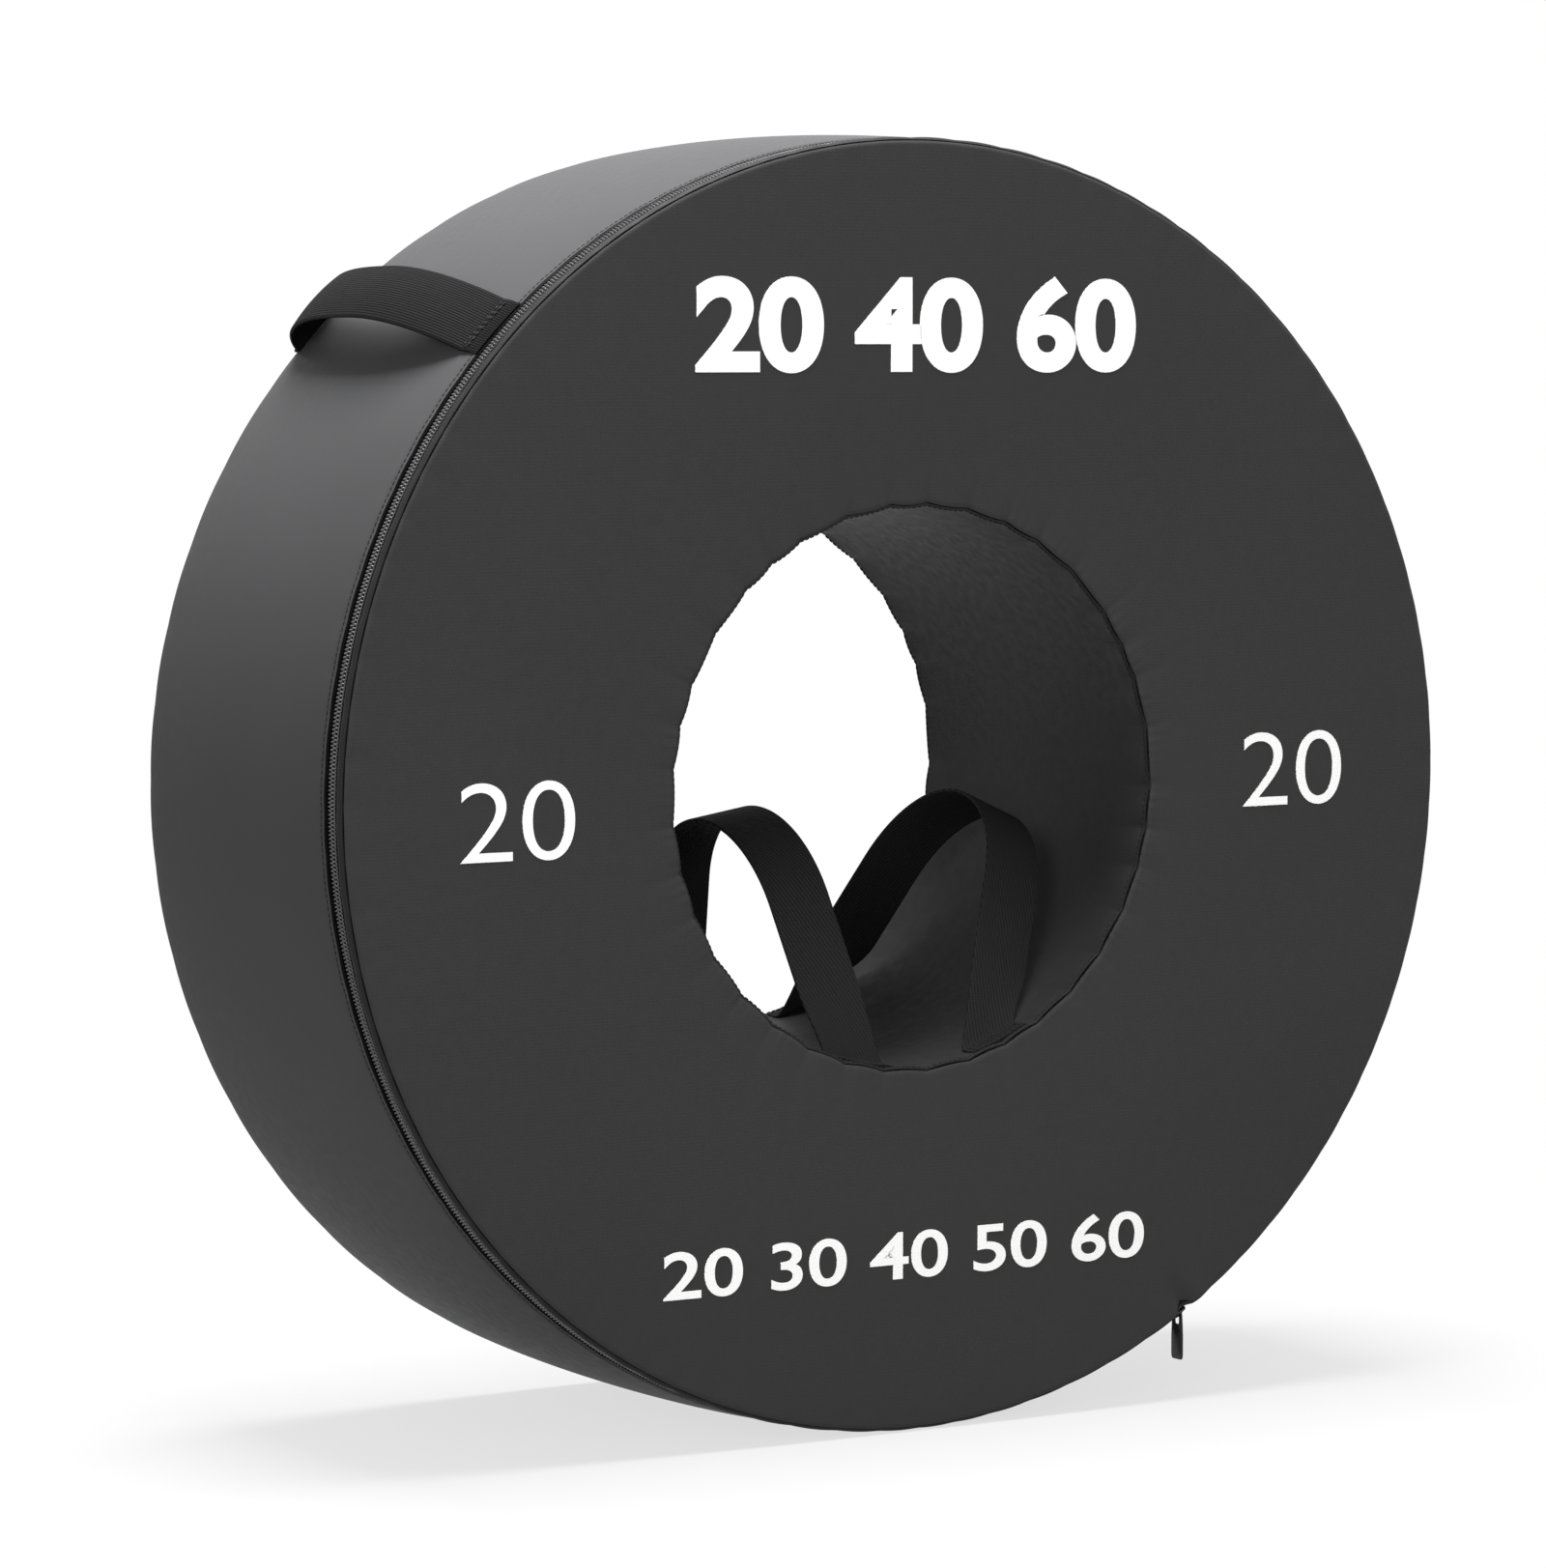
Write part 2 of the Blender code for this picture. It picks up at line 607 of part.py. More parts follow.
def build_strap(side, degrees, lean, look, thread_look):
    centre = math.radians(degrees)
    lie = BORE_RADIUS - GAP
    angles = band_angles(centre, STRAP_WIDTH, BORE_RADIUS)
    bed_points = [wheel_point(lie, 0.0, a) for a in angles]
    seat = wheel_point(lie, 0.0, centre)
    half_path = strap_side(seat.z)
    path = [(-y, z) for y, z in half_path] + list(reversed(half_path))[1:]
    height = half_path[-1][1] - seat.z
    tilt = math.atan2(lean, height)
    flat_across = Vector((math.cos(tilt), 0.0, -math.sin(tilt)))
    offsets = [(a - centre) * BORE_RADIUS for a in angles]
    rows = []
    for y, z in path:
        rise = z - seat.z
        share = min(1.0, rise / STRAP_TWIST_HEIGHT)
        ease_share = share * share * (3.0 - 2.0 * share)
        middle = Vector((seat.x + lean * rise / height, y, z))
        row = []
        for bed, offset in zip(bed_points, offsets):
            curved = middle + bed - seat
            flat = middle + flat_across * offset
            row.append(curved.lerp(flat, ease_share))
        rows.append(row)
    sheet_solid("ball_strap_" + side, rows, STRAP_THICKNESS, look)
    inward = Vector((-math.cos(centre), 0.0, -math.sin(centre)))
    across_half = STRAP_WIDTH / 2 - BOX_STITCH_INSET
    sag = BORE_RADIUS - STRAP_THICKNESS - math.sqrt(
        (BORE_RADIUS - STRAP_THICKNESS) ** 2 - across_half ** 2
    )
    along_half = STRAP_TAB / 2 * BOX_STITCH_SHORT_SHARE
    for end, y_side in (("front", -1.0), ("back", 1.0)):
        y = y_side * (FACE - STRAP_EDGE_INSET - along_half - THREAD)
        place = inward * (sag - lie + STRAP_THICKNESS)
        place.y = y
        across = Vector((inward.z, 0.0, -inward.x)) * across_half
        along = Vector((0.0, along_half, 0.0))
        box_stitch("strap_stitch_" + side + "_" + end, place, inward, along, across, thread_look)


def main():
    for old in list(bpy.data.objects):
        bpy.data.objects.remove(old, do_unlink=True)
    foam = ("charcoal foam", (0.10, 0.10, 0.10), 0.95, 0.0)
    face = ("dark grey coated fabric", (0.040, 0.040, 0.041), 0.62, 0.0)
    rim = ("satin grey coated fabric", (0.062, 0.062, 0.064), 0.45, 0.0)
    lining = ("black coated fabric", (0.022, 0.022, 0.023), 0.6, 0.0)
    tape = ("black woven tape", (0.012, 0.012, 0.012), 0.85, 0.0)
    coil = ("grey nylon", (0.16, 0.16, 0.16), 0.4, 0.0)
    metal = ("black painted zinc", (0.018, 0.018, 0.018), 0.35, 0.6)
    webbing = ("black webbing", (0.014, 0.014, 0.014), 0.8, 0.0)
    elastic = ("black elastic webbing", (0.012, 0.012, 0.012), 0.8, 0.0)
    thread = ("grey thread", (0.10, 0.10, 0.10), 0.6, 0.0)

    build_foam(foam)
    build_cover(face, rim, lining)
    build_zipper(tape, coil, metal, rim)
    build_slider(metal)
    stitch_y = -FACE + PANEL_EDGE + RIM_STITCH_INSET
    thread_ring("rim_topstitch", LAND_RADIUS, stitch_y, thread)
    bore_stitch_y = FACE - BORE_STITCH_INSET
    thread_ring("bore_stitch_front", BORE_RADIUS, -bore_stitch_y, thread)
    thread_ring("bore_stitch_back", BORE_RADIUS, bore_stitch_y, thread)
    build_handle("left", LEFT_HANDLE_ANGLE, webbing, thread)
    build_handle("right", RIGHT_HANDLE_ANGLE, webbing, thread)
    build_strap("left", LEFT_STRAP_ANGLE, LEFT_STRAP_LEAN, elastic, thread)
    build_strap("right", RIGHT_STRAP_ANGLE, RIGHT_STRAP_LEAN, elastic, thread)


main()
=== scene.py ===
import json
import math

import bmesh
import bpy
import numpy as np
from bpy.props import FloatProperty, FloatVectorProperty, PointerProperty
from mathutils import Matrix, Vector


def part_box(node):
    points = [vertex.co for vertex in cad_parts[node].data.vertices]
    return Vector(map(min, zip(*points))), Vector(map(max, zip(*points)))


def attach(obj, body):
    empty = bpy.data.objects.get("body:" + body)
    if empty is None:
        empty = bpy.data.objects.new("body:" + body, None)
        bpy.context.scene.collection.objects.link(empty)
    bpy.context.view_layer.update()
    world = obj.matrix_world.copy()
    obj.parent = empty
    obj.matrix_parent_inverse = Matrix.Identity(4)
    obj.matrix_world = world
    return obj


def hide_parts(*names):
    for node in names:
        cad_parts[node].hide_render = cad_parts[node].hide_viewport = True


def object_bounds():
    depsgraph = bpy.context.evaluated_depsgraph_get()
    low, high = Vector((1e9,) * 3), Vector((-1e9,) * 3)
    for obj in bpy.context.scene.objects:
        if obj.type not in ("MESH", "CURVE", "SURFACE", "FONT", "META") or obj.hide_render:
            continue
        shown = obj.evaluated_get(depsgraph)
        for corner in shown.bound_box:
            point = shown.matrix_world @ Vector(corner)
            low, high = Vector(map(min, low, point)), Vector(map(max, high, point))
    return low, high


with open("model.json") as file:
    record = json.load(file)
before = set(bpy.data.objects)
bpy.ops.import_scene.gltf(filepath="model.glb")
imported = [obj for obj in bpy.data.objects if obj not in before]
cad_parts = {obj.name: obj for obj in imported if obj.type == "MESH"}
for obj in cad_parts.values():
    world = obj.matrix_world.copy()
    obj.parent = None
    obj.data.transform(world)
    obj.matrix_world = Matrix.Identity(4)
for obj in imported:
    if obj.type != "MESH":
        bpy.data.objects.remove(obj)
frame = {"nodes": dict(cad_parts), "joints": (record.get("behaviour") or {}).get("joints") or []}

bl_info = {
    "name": "Tackling wheel",
    "version": (1, 0, 0),
    "blender": (4, 5, 0),
    "location": "3D View > Sidebar > Tackling wheel",
    "description": "Dresses a tackling wheel: fabric cover, zipper, carry handles and ball straps",
    "category": "Object",
}

# The wheel stands upright with its axis along Y and its front face towards -Y. Places round it
# are polar angles from +X, anticlockwise seen from the front.
CAD_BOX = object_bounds()
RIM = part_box("rim_panel")[1][2]
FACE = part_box("rim_panel")[1][1]
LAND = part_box("front_edge_strip")[1][0]
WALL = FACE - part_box("back_panel")[0][1]
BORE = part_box("bore_lining")[1][0] - WALL
FLOOR = CAD_BOX[0][2]
STRIP_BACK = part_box("front_edge_strip")[1][1]
PANEL_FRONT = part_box("rim_panel")[0][1]
TURN = 2.0 * math.pi
JOINTS = {joint["name"]: joint for joint in frame["joints"]}
ZIP_Y = JOINTS["zip_slider_travel"]["pos_m"][1]
PULL_HINGE = Vector(JOINTS["zip_pull_swing"]["pos_m"])
SLIDER_AT = math.atan2(PULL_HINGE.z, PULL_HINGE.x)
FOAM_SLABS = ["foam_core_front", "foam_core_middle", "foam_core_back"]

# Sizes in metres that the real ones give, and that no user would change.
WEAVE = 0.0018  # threads are about 0.5 mm apart, and drawn coarser so that they show
HEM = 0.010  # turned edge of the rim panel
TOPSTITCH = 0.0046  # from the rim panel's fold to its stitches
BORE_STITCH = 0.0030  # from a face to the stitches round the bore
GATHER_FADE = 0.012  # over which the bore's gathers die out along the lining
NOTCH = 0.0048  # how deep the cover is drawn in beside the slider
HAIR = 0.0003  # clearance that keeps two pieces from showing through each other
BORE_GATHERS = 37
STRIP_GATHERS = 84


def linear(hex_colour):
    """A colour written as #rrggbb in sRGB, as three linear values."""
    parts = [int(hex_colour[i:i + 2], 16) / 255.0 for i in (1, 3, 5)]
    return tuple(p / 12.92 if p <= 0.04045 else ((p + 0.055) / 1.055) ** 2.4 for p in parts)


def size(name, words, default):
    """A length in metres that a user can change."""
    return FloatProperty(
        name=name, description=words, default=default, min=0.0, precision=4,
        unit="LENGTH", subtype="DISTANCE",
    )


def colour(name, words, hex_colour):
    """A colour that a user can change, written in sRGB hex and kept linear."""
    return FloatVectorProperty(
        name=name, description=words, default=linear(hex_colour), size=3, min=0.0, max=1.0,
        subtype="COLOR",
    )


class TackleWheelSizes(bpy.types.PropertyGroup):
    """Sizes of the fabric, the stitching and the zipper."""

    corner: size("Corner", "Radius of the cover's sewn corners", 0.0034)
    face_crown: size("Face crown", "How far the foam swells each face", 0.0016)
    rim_crown: size("Rim crown", "How far the foam swells the rim panel past its solid", 0.0024)
    seam_dip: size("Seam dip", "How far a seam is drawn in", 0.0011)
    scallop: size("Scallop", "How far the bore's edge is gathered between its stitches", 0.0018)
    stitch_pitch: size("Stitch pitch", "From one stitch to the next", 0.0034)
    thread: size("Thread", "Thickness of the sewing thread", 0.0007)
    tooth_pitch: size("Tooth pitch", "From one zipper tooth to the next", 0.0021)
    handle_width: size("Handle width", "Width of the carry handle's webbing", 0.038)
    handle_thickness: size("Handle thickness", "Thickness of the carry handle's webbing", 0.0022)
    handle_rise: size("Handle rise", "Height of the carry handle's arch", 0.024)
    strap_width: size("Strap width", "Width of the ball straps", 0.038)
    strap_thickness: size("Strap thickness", "Thickness of the ball straps", 0.0020)
    arch_radius: size("Strap arch radius", "Radius of the arches that the straps make", 0.067)
    print_height: size("Number height", "Height of the printed numbers", 0.042)


class TackleWheelColours(bpy.types.PropertyGroup):
    """Colours of the cover, the webbing and the zipper."""

    face: colour("Face fabric", "Matte coated fabric of the two faces", "#2d2d2d")
    rim: colour("Rim fabric", "Satin coated fabric of the rim", "#464647")
    strip: colour("Edge strip", "Coated fabric beside the zipper", "#232324")
    lining: colour("Lining", "Coated fabric in the bore", "#2a2a2a")
    foam: colour("Foam", "Charcoal foam of the core", "#4a4a4c")
    tape: colour("Zipper tape", "Woven tape that carries the teeth", "#090909")
    teeth: colour("Zipper teeth", "Nylon coil", "#686868")
    metal: colour("Zipper metal", "Black lacquered zinc", "#101011")
    webbing: colour("Webbing", "Woven webbing of the carry handles", "#151515")
    elastic: colour("Elastic", "Ribbed elastic of the ball straps", "#1c1c1c")
    thread: colour("Thread", "Sewing thread", "#151515")
    ink: colour("Ink", "Printed numbers", "#fdfdfc")


# Materials


def add(tree, kind, inputs=None, out=None, **settings):
    """Add a node with its settings and links, and return the node, or one of its outputs.

    Each input is a value, or a socket that is linked to it. out names the output that is wanted.
    """
    made = tree.nodes.new(kind)
    for key, value in settings.items():
        setattr(made, key, value)
    for key, value in (inputs or {}).items():
        if isinstance(value, bpy.types.NodeSocket):
            tree.links.new(value, made.inputs[key])
        else:
            made.inputs[key].default_value = value
    return made if out is None else made.outputs[out]


def new_material(name):
    """A material with an empty node tree."""
    made = bpy.data.materials.new(name)
    made.use_nodes = True
    made.node_tree.nodes.clear()
    return made, made.node_tree


def surfaced(made, inputs):
    """Close a material with its shader, whose inputs are given, and its output."""
    tree = made.node_tree
    shader = add(tree, "ShaderNodeBsdfPrincipled", inputs, "BSDF")
    add(tree, "ShaderNodeOutputMaterial", {"Surface": shader})
    return made


def shades(base, low, high):
    """The two colours that a mix runs between: the base times low, and times high."""
    return {
        side: tuple(min(1.0, c * share) for c in base) + (1.0,)
        for side, share in (("A", low), ("B", high))
    }


def wave_scale(pitch):
    """The scale at which a wave texture's bands repeat after a pitch in metres."""
    return TURN / 20.0 / pitch


def painted_seam_shade(tree, tint, seam):
    """Darken a colour between two places along Y: painted shade in a seam, where the fold keeps
    the light out.

    seam holds where it is darkest, where it is clear, and the share of the colour left in the
    dark. Without a seam the colour stays as it is.
    """
    if not seam:
        return tint
    dark_at, clear_at, least = seam
    place = add(tree, "ShaderNodeTexCoord", out="Object")
    along = add(tree, "ShaderNodeSeparateXYZ", {"Vector": place}, "Y")
    (start, low), (end, high) = sorted([(dark_at, least), (clear_at, 1.0)])
    share = add(tree, "ShaderNodeMapRange", {
        "Value": along, "From Min": start, "From Max": end, "To Min": low, "To Max": high,
    }, "Result", interpolation_type="SMOOTHSTEP")
    return add(tree, "ShaderNodeVectorMath", {0: tint, 1: share}, "Vector", operation="MULTIPLY")


def coated_fabric(name, base, roughness, shine, weave, creases, seam=None, flat=False):
    """Coated polyester oxford: a plain weave that shows faintly through a dull polyurethane skin.

    The eye gets a near even tone, a soft broad highlight and slow changes of gloss. weave and
    creases are the strengths of the threads and of the slow dents. Flat cloth takes its pattern
    from its place, and bent cloth from its own UV map.
    """
    made, tree = new_material(name)
    place = add(tree, "ShaderNodeTexCoord", out="Object" if flat else "UV")
    over, under = (
        add(tree, "ShaderNodeTexWave", {"Vector": place, "Scale": wave_scale(WEAVE)}, "Fac",
            bands_direction=direction)
        for direction in ("XZ" if flat else "XY")
    )
    cloud, mottle, grain = (
        add(tree, "ShaderNodeTexNoise", {"Vector": place, "Scale": scale, "Detail": detail},
            "Fac")
        for scale, detail in ((7.0, 3.0), (160.0, 2.0), (1400.0, 1.0))
    )
    threads, broad, fine, rough = (
        add(tree, "ShaderNodeMath", {0: first, 1: second}, 0, operation="MULTIPLY")
        for first, second in ((over, under), (cloud, 0.62), (mottle, 0.38), (grain, 0.6))
    )
    mixed, height = (
        add(tree, "ShaderNodeMath", {0: first, 1: second}, 0, operation="ADD")
        for first, second in ((broad, fine), (threads, rough))
    )
    tint = add(tree, "ShaderNodeMix", {"Factor": mixed, **shades(base, 0.86, 1.14)}, "Result",
               data_type="RGBA")
    gloss = add(tree, "ShaderNodeMapRange", {
        "Value": mottle, "From Min": 0.3, "From Max": 0.7, "To Min": roughness - 0.04,
        "To Max": roughness + 0.06,
    }, "Result")
    fold = add(tree, "ShaderNodeBump", {
        "Height": cloud, "Strength": creases, "Distance": 0.004,
    }, "Normal")
    cloth = add(tree, "ShaderNodeBump", {
        "Height": height, "Strength": weave, "Distance": 0.00010, "Normal": fold,
    }, "Normal")
    return surfaced(made, {
        "Base Color": painted_seam_shade(tree, tint, seam), "Roughness": gloss, "Normal": cloth,
        "Specular IOR Level": shine,
    })


def webbing(name, base, rib, pick, slant, ribs_show, seam=None):
    """Woven webbing: raised ribs along its length, crossed by fine picks.

    The ribs give it a corded look, and the picks a broken sparkle: the colour follows their
    height, with painted shade in the grooves and a painted highlight on the ribs and picks,
    besides the bump and gloss that they drive. rib and pick are their pitches, slant turns the
    ribs, and ribs_show is how far the painted shade and highlight change the tone.
    """
    made, tree = new_material(name)
    place = add(tree, "ShaderNodeTexCoord", out="UV")
    slanted, drawn = (
        add(tree, "ShaderNodeMapping", {"Vector": place, "Rotation": turn, "Scale": scale},
            "Vector")
        for turn, scale in (((0.0, 0.0, slant), (1.0, 1.0, 1.0)),
                            ((0.0, 0.0, 0.0), (1.0, 24.0, 1.0)))
    )
    ribs, picks = (
        add(tree, "ShaderNodeTexWave", {"Vector": vector, "Scale": wave_scale(pitch)}, "Fac",
            bands_direction=direction)
        for vector, pitch, direction in ((slanted, rib, "Y"), (place, pick, "X"))
    )
    worn = add(tree, "ShaderNodeTexNoise", {"Vector": drawn, "Scale": 45.0, "Detail": 3.0}, "Fac")
    half = add(tree, "ShaderNodeMath", {0: picks, 1: 0.5}, 0, operation="MULTIPLY")
    height = add(tree, "ShaderNodeMath", {0: ribs, 1: half}, 0, operation="ADD")
    # Painted shade and highlight: the colour darkens in the grooves and lightens on the ribs, with
    # wear noise on top.
    painted_rib_shade, wear = (
        add(tree, "ShaderNodeMath", {0: first, 1: second}, 0, operation="MULTIPLY")
        for first, second in ((height, ribs_show), (worn, 0.6))
    )
    shade = add(tree, "ShaderNodeMath", {0: painted_rib_shade, 1: wear}, 0, operation="ADD")
    tint = add(tree, "ShaderNodeMix", {"Factor": shade, **shades(base, 0.4, 1.7)}, "Result",
               data_type="RGBA")
    gloss = add(tree, "ShaderNodeMapRange", {
        "Value": height, "From Min": 0.0, "From Max": 1.5, "To Min": 0.86, "To Max": 0.62,
    }, "Result")
    bump = add(tree, "ShaderNodeBump", {
        "Height": height, "Strength": 0.8, "Distance": 0.0003,
    }, "Normal")
    return surfaced(made, {
        "Base Color": painted_seam_shade(tree, tint, seam), "Roughness": gloss, "Normal": bump,
        "Specular IOR Level": 0.05,
    })


def open_foam(name, base):
    """Polyurethane foam: matte, with open cells about 2 mm across that pit its cut faces."""
    made, tree = new_material(name)
    place = add(tree, "ShaderNodeTexCoord", out="Object")
    cells = add(tree, "ShaderNodeTexVoronoi", {"Vector": place, "Scale": 500.0}, "Distance")
    tint = add(tree, "ShaderNodeMix", {"Factor": cells, **shades(base, 0.45, 1.1)}, "Result",
               data_type="RGBA")
    bump = add(tree, "ShaderNodeBump", {
        "Height": cells, "Strength": 0.7, "Distance": 0.0006,
    }, "Normal")
    return surfaced(made, {"Base Color": tint, "Normal": bump, "Roughness": 0.95})


def woven_tape(name, base):
    """Polyester zipper tape: a fine herringbone weave, drawn at 1.2 mm so that it shows."""
    made, tree = new_material(name)
    place = add(tree, "ShaderNodeTexCoord", out="UV")
    slanted, straight = (
        add(tree, "ShaderNodeTexWave", {"Vector": place, "Scale": wave_scale(pitch)}, "Fac",
            bands_direction=direction)
        for pitch, direction in ((0.0012, "DIAGONAL"), (0.0008, "X"))
    )
    weave = add(tree, "ShaderNodeMath", {0: slanted, 1: straight}, 0, operation="MULTIPLY")
    tint = add(tree, "ShaderNodeMix", {"Factor": weave, **shades(base, 0.6, 1.7)}, "Result",
               data_type="RGBA")
    bump = add(tree, "ShaderNodeBump", {
        "Height": weave, "Strength": 0.5, "Distance": 0.0002,
    }, "Normal")
    return surfaced(made, {
        "Base Color": tint, "Normal": bump, "Roughness": 0.9, "Specular IOR Level": 0.1,
    })


def moulded_nylon(name, base):
    """Nylon coil: smooth and slightly waxy, with a broad highlight on each tooth."""
    made, tree = new_material(name)
    place = add(tree, "ShaderNodeTexCoord", out="Object")
    haze = add(tree, "ShaderNodeTexNoise", {"Vector": place, "Scale": 900.0, "Detail": 1.0},
               "Fac")
    tint = add(tree, "ShaderNodeMix", {"Factor": haze, **shades(base, 0.8, 1.15)}, "Result",
               data_type="RGBA")
    return surfaced(made, {"Base Color": tint, "Roughness": 0.38, "Specular IOR Level": 0.3})


def lacquered_zinc(name, base):
    """Die-cast zinc in black lacquer: an even gloss that has rubbed matte in fine specks."""
    made, tree = new_material(name)
    place = add(tree, "ShaderNodeTexCoord", out="Object")
    rub = add(tree, "ShaderNodeTexNoise", {"Vector": place, "Scale": 700.0, "Detail": 4.0}, "Fac")
    gloss = add(tree, "ShaderNodeMapRange", {
        "Value": rub, "From Min": 0.35, "From Max": 0.65, "To Min": 0.24, "To Max": 0.42,
    }, "Result")
    tint = add(tree, "ShaderNodeMix", {"Factor": rub, **shades(base, 0.8, 1.3)}, "Result",
               data_type="RGBA")
    bump = add(tree, "ShaderNodeBump", {
        "Height": rub, "Strength": 0.15, "Distance": 0.0002,
    }, "Normal")
    return surfaced(made, {
        "Base Color": tint, "Roughness": gloss, "Normal": bump, "Specular IOR Level": 0.35,
    })


def sewing_thread(name, base):
    """Bonded polyester thread: plies that show as a twist each 1.1 mm, with a slight gloss."""
    made, tree = new_material(name)
    place = add(tree, "ShaderNodeTexCoord", out="UV")
    plies = add(tree, "ShaderNodeTexWave", {"Vector": place, "Scale": wave_scale(0.0011)}, "Fac",
                bands_direction="DIAGONAL")
    tint = add(tree, "ShaderNodeMix", {"Factor": plies, **shades(base, 0.6, 1.5)}, "Result",
               data_type="RGBA")
    bump = add(tree, "ShaderNodeBump", {
        "Height": plies, "Strength": 0.6, "Distance": 0.0001,
    }, "Normal")
    return surfaced(made, {
        "Base Color": tint, "Normal": bump, "Roughness": 0.65, "Specular IOR Level": 0.2,
    })


def screen_ink(name, base):
    """Screen-printed white ink: opaque and flat, with the cloth's weave faint beneath it."""
    made, tree = new_material(name)
    place = add(tree, "ShaderNodeTexCoord", out="Object")
    over, under = (
        add(tree, "ShaderNodeTexWave", {"Vector": place, "Scale": wave_scale(WEAVE)}, "Fac",
            bands_direction=direction)
        for direction in "XZ"
    )
    threads = add(tree, "ShaderNodeMath", {0: over, 1: under}, 0, operation="MULTIPLY")
    wear = add(tree, "ShaderNodeTexNoise", {"Vector": place, "Scale": 240.0, "Detail": 4.0},
               "Fac")
    tint = add(tree, "ShaderNodeMix", {"Factor": wear, **shades(base, 0.94, 1.0)}, "Result",
               data_type="RGBA")
    bump = add(tree, "ShaderNodeBump", {
        "Height": threads, "Strength": 0.25, "Distance": 0.0001,
    }, "Normal")
    return surfaced(made, {"Base Color": tint, "Normal": bump, "Roughness": 0.5})


# Surfaces


class Surface:
    """Gathers grids of points as whole arrays and writes them to one mesh."""

    def __init__(self):
        self.points = []
        self.quads = []
        self.places = []
        self.total = 0

    def grid(self, points, place=None, round_rows=False, round_columns=False):
        """Join rows and columns of points with quads.

        place holds a (u, v) in metres for each point. Where the grid is closed it has one row
        or column more than points, so that the pattern runs on over the join.
        """
        rows, columns = points.shape[:2]
        i, j = np.meshgrid(
            np.arange(rows if round_rows else rows - 1),
            np.arange(columns if round_columns else columns - 1), indexing="ij",
        )
        i = i.ravel()
        j = j.ravel()
        corner_i = np.stack([i, i, i + 1, i + 1], axis=1)
        corner_j = np.stack([j, j + 1, j + 1, j], axis=1)
        if place is None:
            place = np.zeros((rows + 1, columns + 1, 2))
        self.quads.append((corner_i % rows) * columns + corner_j % columns + self.total)
        self.places.append(place[corner_i, corner_j])
        self.points.append(points.reshape(-1, 3))
        self.total += rows * columns

    def copies(self, unit, quads, origins, axes, place):
        """Copies of a small shape. Each point is its origin plus x, y and z along three axes."""
        count = len(origins)
        made = origins[:, None, :] + np.einsum("kc,nca->nka", unit, axes)
        steps = self.total + np.arange(count)[:, None, None] * len(unit)
        self.quads.append((quads[None] + steps).reshape(-1, 4))
        self.places.append(np.tile(place[quads], (count, 1, 1)))
        self.points.append(made.reshape(-1, 3))
        self.total += count * len(unit)

    def build(self, name, look, body, stands_for=(), weld=True, sharp=40.0):
        """Write the mesh, turn its faces outward, and tie the piece to its body and nodes."""
        points = np.concatenate(self.points)
        quads = np.concatenate(self.quads)
        places = np.concatenate(self.places)
        mesh = bpy.data.meshes.new(name)
        mesh.vertices.add(len(points))
        mesh.vertices.foreach_set("co", points.astype(np.float32).ravel())
        mesh.loops.add(quads.size)
        mesh.loops.foreach_set("vertex_index", quads.astype(np.int32).ravel())
        mesh.polygons.add(len(quads))
        mesh.polygons.foreach_set("loop_start", np.arange(0, quads.size, 4, dtype=np.int32))
        mesh.update(calc_edges=True)
        layer = mesh.uv_layers.new(name="cloth")
        layer.data.foreach_set("uv", places.astype(np.float32).ravel())
        shape = bmesh.new()
        shape.from_mesh(mesh)
        if weld:
            bmesh.ops.remove_doubles(shape, verts=shape.verts, dist=1e-6)
        bmesh.ops.recalc_face_normals(shape, faces=shape.faces)
        shape.to_mesh(mesh)
        shape.free()
        mesh.shade_smooth()
        mesh.set_sharp_from_angle(angle=math.radians(sharp))
        return finish_piece(name, mesh, look, body, stands_for)


def finish_piece(name, mesh, look, body, stands_for):
    """Give a mesh its material and tie its object to its body and nodes."""
    mesh.materials.append(look)
    piece = bpy.data.objects.new(name, mesh)
    bpy.context.scene.collection.objects.link(piece)
    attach(piece, body)
    if stands_for:
        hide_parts(*stands_for)
    return piece


def ripple(angle, count, seed):
    """Uneven waves round the wheel: a sum of cosines whose whole counts lie near count."""
    chance = np.random.default_rng(seed)
    total = np.zeros_like(angle)
    for _ in range(5):
        near = round(count * chance.uniform(0.7, 1.3))
        total = total + np.cos(near * angle + chance.uniform(0.0, TURN))
    return total / 3.0


def gathers(angle, count, seed):
    """Gathered cloth between stitches: the size of a sine, its steps made uneven by a ripple."""
    uneven = angle + ripple(angle, 9, seed) * 1.1 / count
    return np.abs(np.sin(count * uneven / 2.0)) ** 0.8


def skin(y):
    """Radius of the rim: a flat middle that eases down to a land at each side."""
    flat, land = 0.055, FACE - 0.030  # where the middle ends, and where the land starts
    share = np.clip((np.abs(y) - flat) / (land - flat), 0.0, 1.0)
    return RIM - (RIM - LAND) * share * share * (3.0 - 2.0 * share)


def pressed(points, depth):
    """Points lower than depth above the floor are raised to that height, as the foam gives."""
    points[..., 2] = np.maximum(points[..., 2], FLOOR + depth)
    return points


def turned(radius, along, angles):
    """Points at (radius, along the axis), turned through the angles."""
    radius, along, angles = np.broadcast_arrays(radius, along, angles)
    return np.stack([radius * np.cos(angles), along, radius * np.sin(angles)], axis=-1)


def shell_profile(radius, along, wall, side):
    """A closed profile: the visible line, then its inner side, a wall away along its normal."""
    radius = np.asarray(radius, float)
    along = np.asarray(along, float)
    d_radius = np.gradient(radius)
    d_along = np.gradient(along)
    length = np.hypot(d_radius, d_along)
    inner_radius = radius - side * wall * d_along / length
    inner_along = along + side * wall * d_radius / length
    return (
        np.concatenate([radius, inner_radius[::-1]]),
        np.concatenate([along, inner_along[::-1]]),
    )


